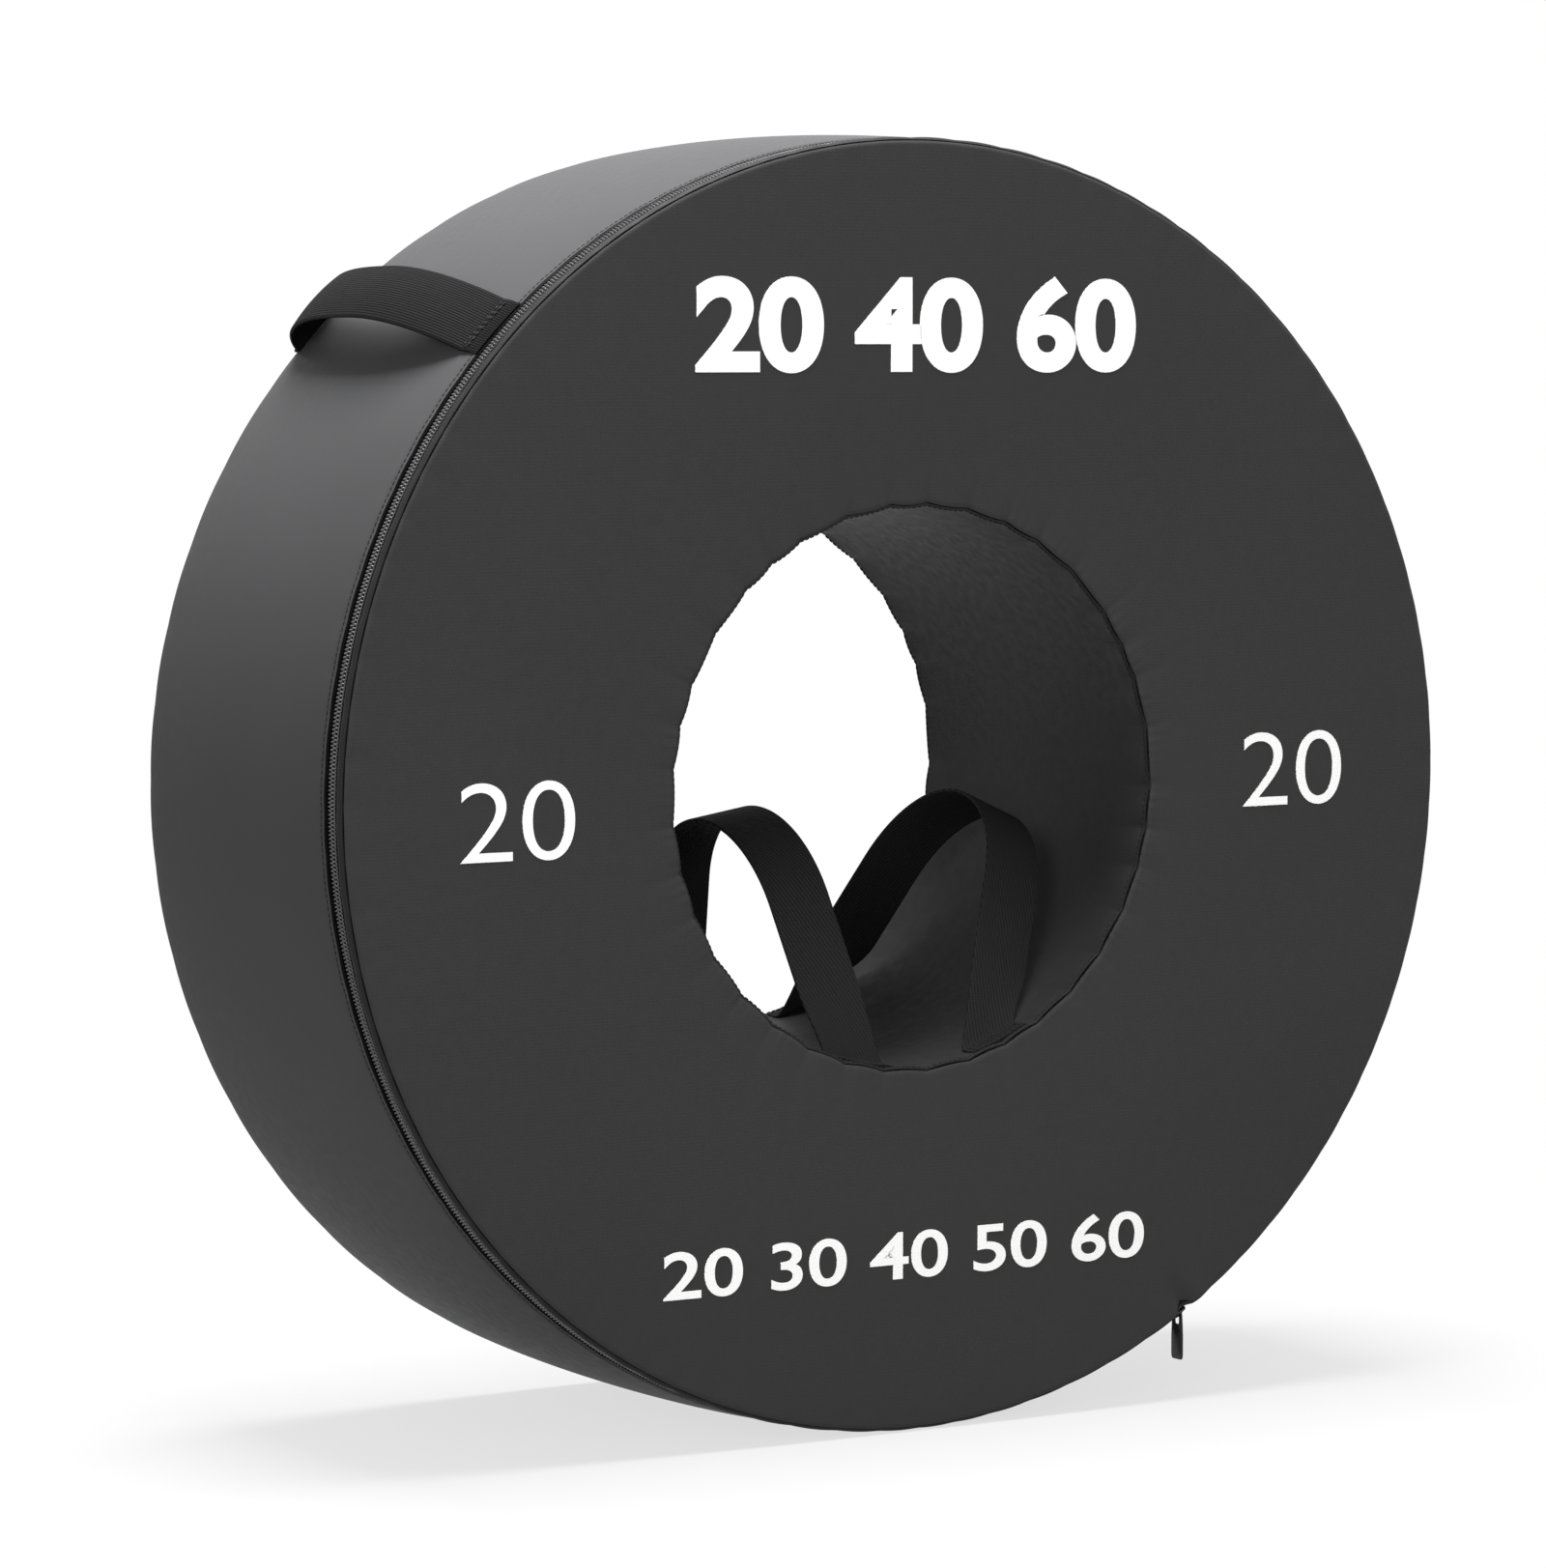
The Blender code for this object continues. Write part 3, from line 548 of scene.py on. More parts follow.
def lengths(radius, along):
    """Distance run along a profile, at each of its points and back at its first."""
    steps = np.hypot(np.diff(radius, append=radius[0]), np.diff(along, append=along[0]))
    return np.concatenate([[0.0], np.cumsum(steps)])


def run_along(*lines):
    """Distance run along an open path at each of its points, from its coordinates."""
    steps = np.sqrt(sum(np.diff(line) ** 2 for line in lines))
    return np.concatenate([[0.0], np.cumsum(steps)])


def add_ring(surface, radius, along, count=720, start=None, end=None, out=None, back=None,
             press=False):
    """Turn a closed profile round the axis, or from start to end with closed ends.

    out and back move each point away from the axis and along it. Each is a function of the
    angles and of the profile's radius and place. press keeps the ring above the floor.
    """
    whole = start is None
    if whole:
        angles = np.arange(count) * TURN / count
        measure = np.arange(count + 1) * TURN / count
    else:
        angles = np.linspace(start, end, count)
        measure = angles
    angle, rad = np.meshgrid(angles, radius, indexing="ij")
    _, lie = np.meshgrid(angles, along, indexing="ij")
    more = out(angle, rad, lie) if out else 0.0
    shift = back(angle, rad, lie) if back else 0.0
    points = turned(rad + more, lie + shift, angle)
    if press:
        points = pressed(points, np.maximum(0.0, skin(lie) - rad))
    u, v = np.meshgrid(measure * float(np.mean(radius)), lengths(radius, along), indexing="ij")
    surface.grid(points, np.stack([u, v], axis=-1), round_rows=whole, round_columns=True)
    if not whole:
        for row in (points[0], points[-1]):
            middle = np.broadcast_to(row.mean(axis=0), row.shape)
            surface.grid(np.stack([row, middle]), round_columns=True)


def arc(centre_radius, centre_along, radius, start, end, count):
    """Points of an arc in the profile plane, from one angle in degrees to another."""
    angle = np.radians(np.linspace(start, end, count))
    return centre_radius + radius * np.cos(angle), centre_along + radius * np.sin(angle)


def bore_gather(angle, side):
    """How far the bore's edge is drawn in towards the axis between its stitches."""
    scallop = bpy.context.scene.tackle_wheel_sizes.scallop
    return scallop * gathers(angle, BORE_GATHERS, 11 + side)


def dip_ends(radius, along, *ends):
    """Draw a profile's ends into their seams: each end is an index and its two directions."""
    # Six tenths of the seam's dip go each way.
    dip = bpy.context.scene.tackle_wheel_sizes.seam_dip * 0.6
    for index, inward, sideways in ends:
        radius[index] += inward * dip
        along[index] += sideways * dip


def slider_notch(angle):
    """How far the front seam is drawn in beside the slider.

    It is a bell curve that falls off in 4.4 mm, less a low one 13 mm on, where the cover bulges.
    """
    off = (np.mod(angle - SLIDER_AT + math.pi, TURN) - math.pi) * LAND
    bulge = 0.0006 * np.exp(-((off - 0.013) / 0.005) ** 2)
    return NOTCH * np.exp(-(off / 0.0044) ** 2) - bulge


def drawn_in(angle, along):
    """How much of the notch reaches a place between the zipper and the front seam."""
    share = np.clip((STRIP_BACK - along) / (STRIP_BACK + FACE), 0.0, 1.0)
    return slider_notch(angle) * share ** 0.7


def drawn_back(angle, radius):
    """How far the notch draws the front face back, fading over 16 mm from its rim."""
    return 0.6 * slider_notch(angle) * np.exp(-((LAND - radius) / 0.016) ** 2)


def face_swell(angle, radius, side):
    """How far a face stands out: a low crown, dents at both seams and slow waves.

    The crown is a half sine between the seams to the power 0.6. Each dent is an exponential
    that fades from its seam, with gathers round it. Fine creases run out from the bore.
    """
    sizes = bpy.context.scene.tackle_wheel_sizes
    share = np.clip((radius - BORE) / (LAND - BORE), 0.0, 1.0)
    crown = sizes.face_crown * np.sin(math.pi * share) ** 0.6
    inner = np.exp(-(radius - BORE) / 0.011) * (gathers(angle, BORE_GATHERS, 11 + side) - 0.7)
    outer = np.exp(-(LAND - radius) / 0.008) * (gathers(angle, STRIP_GATHERS, 31 + side) - 0.7)
    slow = ripple(angle, 5, 41 + side) * np.sin(math.pi * share)
    pucker = drawn_back(angle, radius) * (side > 0)
    fine = np.exp(-(radius - BORE) / 0.005) * ripple(angle, 150, 45 + side)
    waves = 0.0010 * inner + 0.0006 * outer + 0.0004 * slow + 0.00025 * fine
    return crown + waves - pucker


def face_profile(side):
    """A face's profile from the bore's seam to the rim's, with a short arc at each end."""
    corner = bpy.context.scene.tackle_wheel_sizes.corner
    inner_r, inner_y = arc(BORE + corner, corner - FACE, corner, 222.0, 270.0, 7)
    outer_r, outer_y = arc(LAND - corner, corner - FACE, corner, 270.0, 318.0, 7)
    # Points stand closer together near the two seams, where the cloth is gathered.
    share = np.linspace(0.0, 1.0, 46)[1:-1]
    eased = (1.0 - np.cos(math.pi * share)) / 2.0
    flat_r = inner_r[-1] + (outer_r[0] - inner_r[-1]) * eased
    radius = np.concatenate([inner_r, flat_r, outer_r])
    along = np.concatenate([inner_y, np.full(len(share), -FACE), outer_y])
    dip_ends(radius, along, (0, 1.0, 1.0), (-1, -1.0, 1.0))
    return radius, along * side


class TACKLEWHEEL_OT_faces(bpy.types.Operator):
    """Sew the front and back panels over the foam"""

    bl_idname = "tackle_wheel.faces"
    bl_label = "Face panels"

    def execute(self, context):
        colours = context.scene.tackle_wheel_colours
        for name, side in (("front_panel", 1), ("back_panel", -1)):
            look = coated_fabric(
                "matte coated oxford, " + name.replace("_", " "), colours.face,
                roughness=0.62, shine=0.16, weave=0.35, creases=0.10, flat=True,
            )
            radius, along = face_profile(side)
            closed_r, closed_y = shell_profile(radius, along, WALL, side)

            def swell(angle, rad, lie, side=side):
                return -side * face_swell(angle, rad, side)

            def gather(angle, rad, lie, side=side):
                drawn = bore_gather(angle, side) * np.exp(-(rad - BORE) / 0.010)
                notch = slider_notch(angle) * np.exp((rad - LAND) / 0.008) * (side > 0)
                return -drawn - notch

            surface = Surface()
            add_ring(surface, closed_r, closed_y, out=gather, back=swell)
            cloth = surface.build(name + "_cloth", look, "wheel", (name,))
        return {"FINISHED"}


def rim_swell(angle, radius, along):
    """How far the rim panel stands off its solid.

    Its crown is a half sine from seam to seam to the power 0.6, which slow waves, gathers at
    both edges and a groove under the topstitch change a little.
    """
    sizes = bpy.context.scene.tackle_wheel_sizes
    share = np.clip((along - PANEL_FRONT) / (FACE - PANEL_FRONT), 0.0, 1.0)
    arch = np.sin(math.pi * share)
    crown = LAND + (RIM - LAND + sizes.rim_crown) * arch ** 0.6 - skin(along)
    slow = (ripple(angle, 7, 51) * 0.0006 + ripple(angle + along, 16, 54) * 0.0002) * arch
    front = np.exp(-(along - PANEL_FRONT) / 0.008) * (gathers(angle, 90, 52) - 0.6) * 0.0004
    back = np.exp(-(FACE - along) / 0.012) * (gathers(angle, 48, 53) - 0.6) * 0.0004
    stitch = np.exp(-((along - PANEL_FRONT - TOPSTITCH) / 0.0011) ** 2) * 0.0006
    return crown + slow + front + back - stitch


class TACKLEWHEEL_OT_rim(bpy.types.Operator):
    """Stretch the rim panel round the foam, from the zipper to the back seam"""

    bl_idname = "tackle_wheel.rim"
    bl_label = "Rim panel"

    def execute(self, context):
        corner = context.scene.tackle_wheel_sizes.corner
        # The seam entry is painted shade: it darkens the fold's wall beside the zipper, where the
        # tape lies in shade.
        look = coated_fabric(
            "satin coated oxford, rim panel", context.scene.tackle_wheel_colours.rim,
            roughness=0.48, shine=0.03, weave=0.10, creases=0.05,
            seam=(PANEL_FRONT + 0.0011, PANEL_FRONT + 0.0019, 0.04),
        )
        # The cloth is folded under at the zipper, over a quarter round as wide as the wall.
        bend = WALL * 0.5
        fold_r, fold_y = arc(LAND - bend, PANEL_FRONT + bend, bend, 180.0, 270.0, 4)
        # Points stand closer together along the hem, where the topstitch draws it in.
        hem = PANEL_FRONT + HEM
        along = np.concatenate([np.linspace(PANEL_FRONT + bend, hem, 23)[1:],
                                np.linspace(hem, FACE - corner, 36)[1:]])
        back_r, back_y = arc(LAND - corner, FACE - corner, corner, 0.0, 42.0, 7)
        dip_ends(back_r, back_y, (-1, -1.0, -1.0))
        radius = np.concatenate([fold_r[1:], skin(along), back_r[1:]])
        place = np.concatenate([fold_y[1:], along, back_y[1:]])
        closed_r, closed_y = shell_profile(radius, place, WALL * 0.8, 1.0)
        surface = Surface()
        add_ring(surface, closed_r, closed_y, out=rim_swell, press=True)
        cloth = surface.build("rim_panel_cloth", look, "wheel", ("rim_panel",))
        return {"FINISHED"}


class TACKLEWHEEL_OT_edge_strip(bpy.types.Operator):
    """Sew the narrow strip between the front face and the zipper, and the zipper's end cover"""

    bl_idname = "tackle_wheel.edge_strip"
    bl_label = "Edge strip"

    def execute(self, context):
        corner = context.scene.tackle_wheel_sizes.corner
        # The seam entry is painted shade: it darkens the strip's folded edge beside the zipper.
        look = coated_fabric(
            "satin coated oxford, edge strip", context.scene.tackle_wheel_colours.strip,
            roughness=0.6, shine=0.10, weave=0.5, creases=0.15,
            seam=(STRIP_BACK - 0.0009, STRIP_BACK - 0.0018, 0.05),
        )
        front_r, front_y = arc(LAND - corner, corner - FACE, corner, -42.0, 0.0, 7)
        dip_ends(front_r, front_y, (0, -1.0, 1.0))
        bend = WALL * 0.5
        run = np.linspace(front_y[-1], STRIP_BACK - bend, 8)[1:]
        fold_r, fold_y = arc(LAND - bend, STRIP_BACK - bend, bend, 0.0, 90.0, 4)
        radius = np.concatenate([front_r, np.full(len(run), LAND), fold_r[1:]])
        place = np.concatenate([front_y, run, fold_y[1:]])
        closed_r, closed_y = shell_profile(radius, place, WALL * 0.8, 1.0)

        def swell(angle, rad, lie):
            # The strip bulges along its middle, 4 mm from the face, unevenly between gathers.
            middle = np.exp(-((lie + FACE - 0.0040) / 0.0022) ** 2)
            loose = 0.0005 + 0.0005 * gathers(angle, STRIP_GATHERS, 32)
            return middle * loose - drawn_in(angle, lie)

        def wander(angle, rad, lie):
            # Its edge at the zipper wanders by 0.3 mm, and the notch draws it back.
            loose = np.exp(-(STRIP_BACK - lie) / 0.003) * ripple(angle, 60, 33) * 0.0003
            return loose + 0.6 * drawn_in(angle, lie) ** 2 / NOTCH

        surface = Surface()
        add_ring(surface, closed_r, closed_y, out=swell, back=wander, press=True)
        cloth = surface.build("front_edge_strip_cloth", look, "wheel",
                              ("front_edge_strip",))

        look = coated_fabric(
            "satin coated oxford, end cover", context.scene.tackle_wheel_colours.strip,
            roughness=0.6, shine=0.10, weave=0.5, creases=0.15,
        )
        start, end = span_of("zipper_end_cover")
        low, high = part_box("zipper_end_cover")
        # It is flat across and falls by its wall at both edges, by a power of 6.
        half = (high[1] - low[1]) / 2.0
        across = np.linspace(-1.0, 1.0, 15)
        bulge = LAND - WALL + WALL * (1.0 - np.abs(across) ** 6)
        surface = Surface()
        closed_r, closed_y = shell_profile(bulge, (low[1] + high[1]) / 2.0 + across * half,
                                           WALL * 0.8, 1.0)
        add_ring(surface, closed_r, closed_y, count=120, start=start, end=end)
        patch = surface.build("zipper_end_cover_cloth", look, "wheel",
                              ("zipper_end_cover",))
        return {"FINISHED"}


def span_of(node):
    """The polar angles, in radians, between which a part ring runs, from its own points.

    The ring's widest empty stretch is found, and the span goes from its end to its start.
    """
    mesh = frame["nodes"][node].data
    points = np.empty(len(mesh.vertices) * 3, np.float32)
    mesh.vertices.foreach_get("co", points)
    points = points.reshape(-1, 3).astype(float)
    angles = np.unique(np.round(np.arctan2(points[:, 2], points[:, 0]), 6))
    empty = np.diff(angles, append=angles[0] + TURN)
    widest = int(np.argmax(empty))
    start = angles[(widest + 1) % len(angles)]
    return start, start + TURN - empty[widest]


class TACKLEWHEEL_OT_lining(bpy.types.Operator):
    """Line the bore, gathered where it meets the two faces"""

    bl_idname = "tackle_wheel.lining"
    bl_label = "Bore lining"

    def execute(self, context):
        corner = context.scene.tackle_wheel_sizes.corner
        look = coated_fabric(
            "matte coated oxford, bore lining", context.scene.tackle_wheel_colours.lining,
            roughness=0.5, shine=0.08, weave=0.25, creases=0.35,
        )
        front_r, front_y = arc(BORE + corner, corner - FACE, corner, 218.0, 180.0, 6)
        dip_ends(front_r, front_y, (0, 1.0, 1.0))
        run = np.linspace(corner - FACE, FACE - corner, 54)[1:-1]
        radius = np.concatenate([front_r, np.full(len(run), BORE), front_r[::-1]])
        place = np.concatenate([front_y, run, -front_y[::-1]])
        closed_r, closed_y = shell_profile(radius, place, WALL, -1.0)

        def gather(angle, rad, lie):
            front = bore_gather(angle, 1) * np.exp(-(FACE + lie) / GATHER_FADE)
            back = bore_gather(angle, -1) * np.exp(-(FACE - lie) / GATHER_FADE)
            # Slack cloth lies in folds that run askew from face to face.
            slack = ripple(angle + lie * 2.0, 11, 61) * ripple(angle - lie * 3.0, 6, 62)
            return -front - back - 0.0006 - 0.0006 * slack * np.cos(lie / FACE * math.pi / 2)

        surface = Surface()
        add_ring(surface, closed_r, closed_y, out=gather)
        cloth = surface.build("bore_lining_cloth", look, "wheel",
                              ("bore_lining",))
        return {"FINISHED"}


class TACKLEWHEEL_OT_foam(bpy.types.Operator):
    """Cut and laminate the three foam slabs of the core"""

    bl_idname = "tackle_wheel.foam"
    bl_label = "Foam core"

    def execute(self, context):
        look = open_foam("charcoal polyurethane foam", context.scene.tackle_wheel_colours.foam)
        groove = 0.0064  # half the width of the channel that the slider runs over
        corner = 0.0020
        for name in FOAM_SLABS:
            low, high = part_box(name)
            inner = BORE + WALL + HAIR
            along = np.linspace(low[1], high[1], 25)
            outer = skin(along) - WALL - HAIR
            if name.endswith("front"):
                # Room for the hem and the tapes, and a deeper channel for the slider.
                outer = np.where(along < PANEL_FRONT + HEM, LAND - 0.0023, outer)
                outer = np.where(np.abs(along - ZIP_Y) < groove, LAND - 0.0052, outer)
            radius = np.concatenate([[inner], outer, [inner]])
            place = np.concatenate([[low[1]], along, [high[1]]])
            radius[[1, -2]] -= corner

            def draw(angle, rad, lie):
                return -drawn_in(angle, lie) * (rad > LAND - 0.01)

            def lean(angle, rad, lie):
                return drawn_back(angle, rad) * (lie < STRIP_BACK)

            surface = Surface()
            add_ring(surface, radius, place, out=draw, back=lean, press=True)
            slab = surface.build(name + "_slab", look, "wheel", (name,), sharp=30.0)
        return {"FINISHED"}


class TACKLEWHEEL_OT_tapes(bpy.types.Operator):
    """Lay the zipper's two woven tapes"""

    bl_idname = "tackle_wheel.tapes"
    bl_label = "Zipper tapes"

    def execute(self, context):
        look = woven_tape("woven polyester tape", context.scene.tackle_wheel_colours.tape)
        for side in ("front", "rear"):
            name = "zipper_tape_" + side
            low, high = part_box(name)
            start, end = span_of(name)
            along = np.linspace(low[1], high[1], 9)
            # Warp cords 3 mm apart raise the tape by 0.1 mm.
            radius = high[0] - 0.0001 * np.cos((along - low[1]) * TURN / 0.003)
            closed_r, closed_y = shell_profile(radius, along, 0.0006, 1.0)

            def draw(angle, rad, lie):
                return -drawn_in(angle, lie)

            surface = Surface()
            add_ring(surface, closed_r, closed_y, count=900, start=start, end=end, out=draw)
            surface.build(name + "_weave", look, "wheel", (name,))
        return {"FINISHED"}


def bead(rings, sides):
    """A unit bead: rings of points round X, from pole to pole, squared off by low powers.

    Returns its points, its quads and a (u, v) for each point.
    """
    lie = np.linspace(0.0, math.pi, rings)
    turn = np.arange(sides) * TURN / sides
    lie, turn = np.meshgrid(lie, turn, indexing="ij")
    x = -np.sign(np.cos(lie)) * np.abs(np.cos(lie)) ** 0.8
    reach = np.sin(lie) ** 0.7
    points = np.stack([x, reach * np.cos(turn), reach * np.sin(turn)], axis=-1).reshape(-1, 3)
    i, j = np.meshgrid(np.arange(rings - 1), np.arange(sides), indexing="ij")
    i = i.ravel()
    j = j.ravel()
    k = (j + 1) % sides
    quads = np.stack([i * sides + j, i * sides + k, (i + 1) * sides + k, (i + 1) * sides + j], 1)
    place = np.stack([lie.ravel() / math.pi, turn.ravel() / TURN], axis=-1) * 0.004
    return points, quads, place


class TACKLEWHEEL_OT_teeth(bpy.types.Operator):
    """Set the zipper's two rows of nylon teeth"""

    bl_idname = "tackle_wheel.teeth"
    bl_label = "Zipper teeth"

    def execute(self, context):
        pitch = context.scene.tackle_wheel_sizes.tooth_pitch
        step = pitch / LAND
        look = moulded_nylon("grey nylon coil", context.scene.tackle_wheel_colours.teeth)
        unit, quads, place = bead(6, 8)
        lean = 0.18  # radians by which each tooth leans along the zipper
        for side, sign in (("front", -1.0), ("rear", 1.0)):
            name = "zipper_coil_" + side
            low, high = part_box(name)
            start, end = span_of(name)
            count = int(LAND * (end - start) / pitch)
            share = (np.arange(count) + 0.5) / count
            angle = start + (end - start) * share + (0.0 if sign > 0 else 0.5 * step)
            angle = angle[(angle > start + step) & (angle < end - step)]
            out = turned(1.0, 0.0, angle)
            round_it = turned(1.0, 0.0, angle + math.pi / 2.0)
            outward = np.array([0.0, sign, 0.0])
            across = outward * math.cos(lean) + round_it * math.sin(lean)
            beside = round_it * math.cos(lean) - outward * math.sin(lean)
            reach = (high[1] - low[1]) / 2.0
            middle = (low[1] + high[1]) / 2.0 - sign * reach * 0.42
            origin = out * (LAND - 0.0005) + np.array([0.0, middle, 0.0])
            axes = np.stack([across * reach * 0.52, beside * pitch * 0.25, out * 0.0010], axis=1)
            surface = Surface()
            surface.copies(unit, quads, origin, axes, place)
            # A thin cord runs inside each row and joins its teeth.
            core_y = middle + np.array([-1.0, -1.0, 1.0, 1.0]) * 0.0006
            core_r = LAND + np.array([-0.0014, -0.0010, -0.0010, -0.0014])
            add_ring(surface, core_r, core_y, count=600, start=start, end=end)
            surface.build(name + "_teeth", look, "wheel", (name,), weld=False,
                          sharp=60.0)
        return {"FINISHED"}


def slider_frame(angle):
    """Axes at a place on the zipper: along it clockwise, across it to the back, and outward."""
    along = np.array([math.sin(angle), 0.0, -math.cos(angle)])
    out = np.array([math.cos(angle), 0.0, math.sin(angle)])
    return along, np.array([0.0, 1.0, 0.0]), out


def rounded(half_x, half_y, power, count=48, taper=0.0):
    """A rounded rectangle: an ellipse whose cosine and sine are drawn to the power 2 / power."""
    turn = np.arange(count) * TURN / count
    cosine = np.sign(np.cos(turn)) * np.abs(np.cos(turn)) ** (2.0 / power)
    sine = np.sign(np.sin(turn)) * np.abs(np.sin(turn)) ** (2.0 / power)
    return np.stack([half_x * cosine, half_y * sine * (1.0 - taper * cosine)], axis=-1)


def add_slab(surface, outline, low, high, edge, origin, axes):
    """A plate with rounded edges: the outline carried up a quarter round, a wall and another.

    Both faces are closed to a point in the middle.
    """
    turn = np.linspace(0.0, math.pi / 2.0, 4)
    inset = np.concatenate([edge * (1.0 - np.sin(turn)), edge * (1.0 - np.cos(turn))])
    inset = np.concatenate([[0.0], inset, [0.0]])
    height = np.concatenate([[low], low + edge * (1.0 - np.cos(turn)),
                             high - edge * (1.0 - np.sin(turn)), [high]])
    reach = np.abs(outline).max(axis=0)
    scale = 1.0 - inset[:, None] / reach[None]
    scale[0] = 0.0
    scale[-1] = 0.0
    flat = outline[None] * scale[:, None, :]
    level = np.broadcast_to(height[:, None, None], flat.shape[:2] + (1,))
    local = np.concatenate([flat, level], axis=-1)
    points = origin + np.einsum("ijc,ca->ija", local, np.stack(axes))
    surface.grid(points, round_columns=True)


def add_rod(surface, path, half_wide, half_deep, wide, count=12):
    """A rod of rounded section carried along a path, with closed ends.

    Its depth runs square to the path and to wide, which is the same all along.
    """
    path = np.asarray(path, float)
    along = np.gradient(path, axis=0)
    along /= np.linalg.norm(along, axis=1, keepdims=True)
    deep = np.cross(along, wide)
    section = rounded(half_wide, half_deep, 3.0, count)
    points = (path[:, None] + section[None, :, :1] * np.asarray(wide)
              + section[None, :, 1:] * deep[:, None])
    ends = [np.broadcast_to(p, (1, count, 3)) for p in (path[0], path[-1])]
    surface.grid(np.concatenate([ends[0], points, ends[1]]), round_columns=True)


class TACKLEWHEEL_OT_slider(bpy.types.Operator):
    """Cast the zipper's slider, its pull and its two end stops"""

    bl_idname = "tackle_wheel.slider"
    bl_label = "Zipper slider"

    def execute(self, context):
        metal = context.scene.tackle_wheel_colours.metal
        look = lacquered_zinc("black lacquered zinc", metal)
        along, across, out = slider_frame(SLIDER_AT)
        base = np.array([0.0, ZIP_Y, 0.0])
        surface = Surface()
        # Two plates with the teeth between them, joined by a blade that parts the rows.
        axes = (along, across, out)
        plate = rounded(0.0045, 0.0055, 3.2, 48, 0.12)
        blade = rounded(0.0022, 0.00028, 4.0, 24)
        for outline, low, high, edge in ((plate, 0.0015, 0.0030, 0.0005),
                                         (plate, -0.0043, -0.0029, 0.0005),
                                         (blade, -0.0030, 0.0016, 0.0001)):
            add_slab(surface, outline, LAND + low, LAND + high, edge, base, axes)
        # The bail is an arch squared off by a power of 0.6, and the pull hangs in it.
        turn = np.linspace(0.0, math.pi, 25)
        reach_x = np.sign(np.cos(turn)) * np.abs(np.cos(turn)) ** 0.6 * 0.00315
        reach_z = np.abs(np.sin(turn)) ** 0.6 * 0.0030
        bail = (base + reach_x[:, None] * along
                + (LAND + 0.0029 + reach_z)[:, None] * out)
        add_rod(surface, bail, 0.0008, 0.00055, across)
        surface.build("slider_casting", look, "slider", ("zip_slider",))

        look = lacquered_zinc("black lacquered zinc, pull", metal)
        surface = Surface()
        # The pull's outline and its eye are carried round its edge, from one face to the other.
        count = 96
        tip, head = 0.0264, -0.0006  # its two ends, from its hinge
        outline = rounded((tip - head) / 2.0, 0.0052, 9.0, count)
        outline[:, 0] += (tip + head) / 2.0
        # It is 12 % narrower near its hinge than at its tip.
        outline[:, 1] *= 1.0 - 0.12 * np.clip((0.0082 - outline[:, 0]) / 0.0040, 0.0, 1.0)
        eye = rounded(0.0028, 0.0021, 5.0, count)
        eye[:, 0] += 0.0034
        quarter = np.linspace(0.0, math.pi / 2.0, 4)
        thick = 0.0006  # half of its thickness
        edge = 0.00035
        rows = []
        heights = []
        for line, inward in ((outline, -1.0), (eye, 1.0)):
            middle = line.mean(axis=0)
            reach = np.abs(line - middle).max(axis=0)
            order = np.concatenate([quarter, quarter[::-1]])
            lift = thick - edge + edge * np.cos(quarter)
            lift = np.concatenate([-lift, lift[::-1]])
            drawn = edge * (1.0 - np.sin(order))
            if inward > 0:
                drawn = drawn[::-1]
                lift = lift[::-1]
            for pull_in, height in zip(drawn, lift):
                rows.append(middle + (line - middle) * (1.0 + inward * pull_in / reach))
                heights.append(height)
        rows = np.stack(rows)
        level = np.broadcast_to(np.array(heights)[:, None, None], rows.shape[:2] + (1,))
        local = np.concatenate([rows, level], axis=-1)
        axes = np.array([[0.0, 0.0, -1.0], [0.0, 1.0, 0.0], [1.0, 0.0, 0.0]])
        points = np.array(PULL_HINGE) + np.einsum("ijc,ca->ija", local, axes)
        surface.grid(points, round_rows=True, round_columns=True)
        # A raised field on each face gives the fingers hold.
        ridge = rounded(0.0074, 0.0036, 5.0, 48)
        for face in (1.0, -1.0):
            add_slab(surface, ridge, thick - 0.0001, thick + 0.0002, 0.0001,
                     np.array(PULL_HINGE) + 0.0166 * axes[0],
                     (axes[0], axes[1] * face, axes[2] * face))
        surface.build("pull_casting", look, "pull", ("zip_pull",))

        look = lacquered_zinc("black lacquered zinc, stops", metal)
        for end in ("start", "end"):
            name = "zipper_stop_" + end
            first, last = span_of(name)
            along, across, out = slider_frame((first + last) / 2.0)
            # A clamp over both rows, with a pressed lug on each.
            surface = Surface()
            stop = rounded(LAND * (last - first) / 2.0, 0.0049, 6.0, 40)
            add_slab(surface, stop, LAND - 0.0010, LAND + 0.0012, 0.0005, base,
                     (along, across, out))
            for row in (-1.0, 1.0):
                lug = rounded(0.0021, 0.0017, 3.0, 32)
                add_slab(surface, lug, LAND + 0.0010, LAND + 0.0016, 0.0003,
                         base + across * row * 0.0024, (along, across, out))
            surface.build(name + "_clamp", look, "wheel", (name,))
        return {"FINISHED"}


def band_section(width, thickness, count=10):
    """A closed section of webbing as (across, height): two flat sides and two rounded edges."""
    flat = np.linspace(-0.5, 0.5, 25) * (width - thickness)
    turn = np.linspace(0.0, math.pi, count)[1:-1]
    right = np.stack([flat[-1] + thickness / 2.0 * np.sin(turn),
                      thickness / 2.0 * (1.0 - np.cos(turn))], axis=-1)
    left = np.stack([flat[0] - thickness / 2.0 * np.sin(turn),
                     thickness / 2.0 * (1.0 + np.cos(turn))], axis=-1)
    low = np.stack([flat, np.zeros_like(flat)], axis=-1)
    high = np.stack([flat[::-1], np.full_like(flat, thickness)], axis=-1)
    return np.concatenate([low, right, high, left])


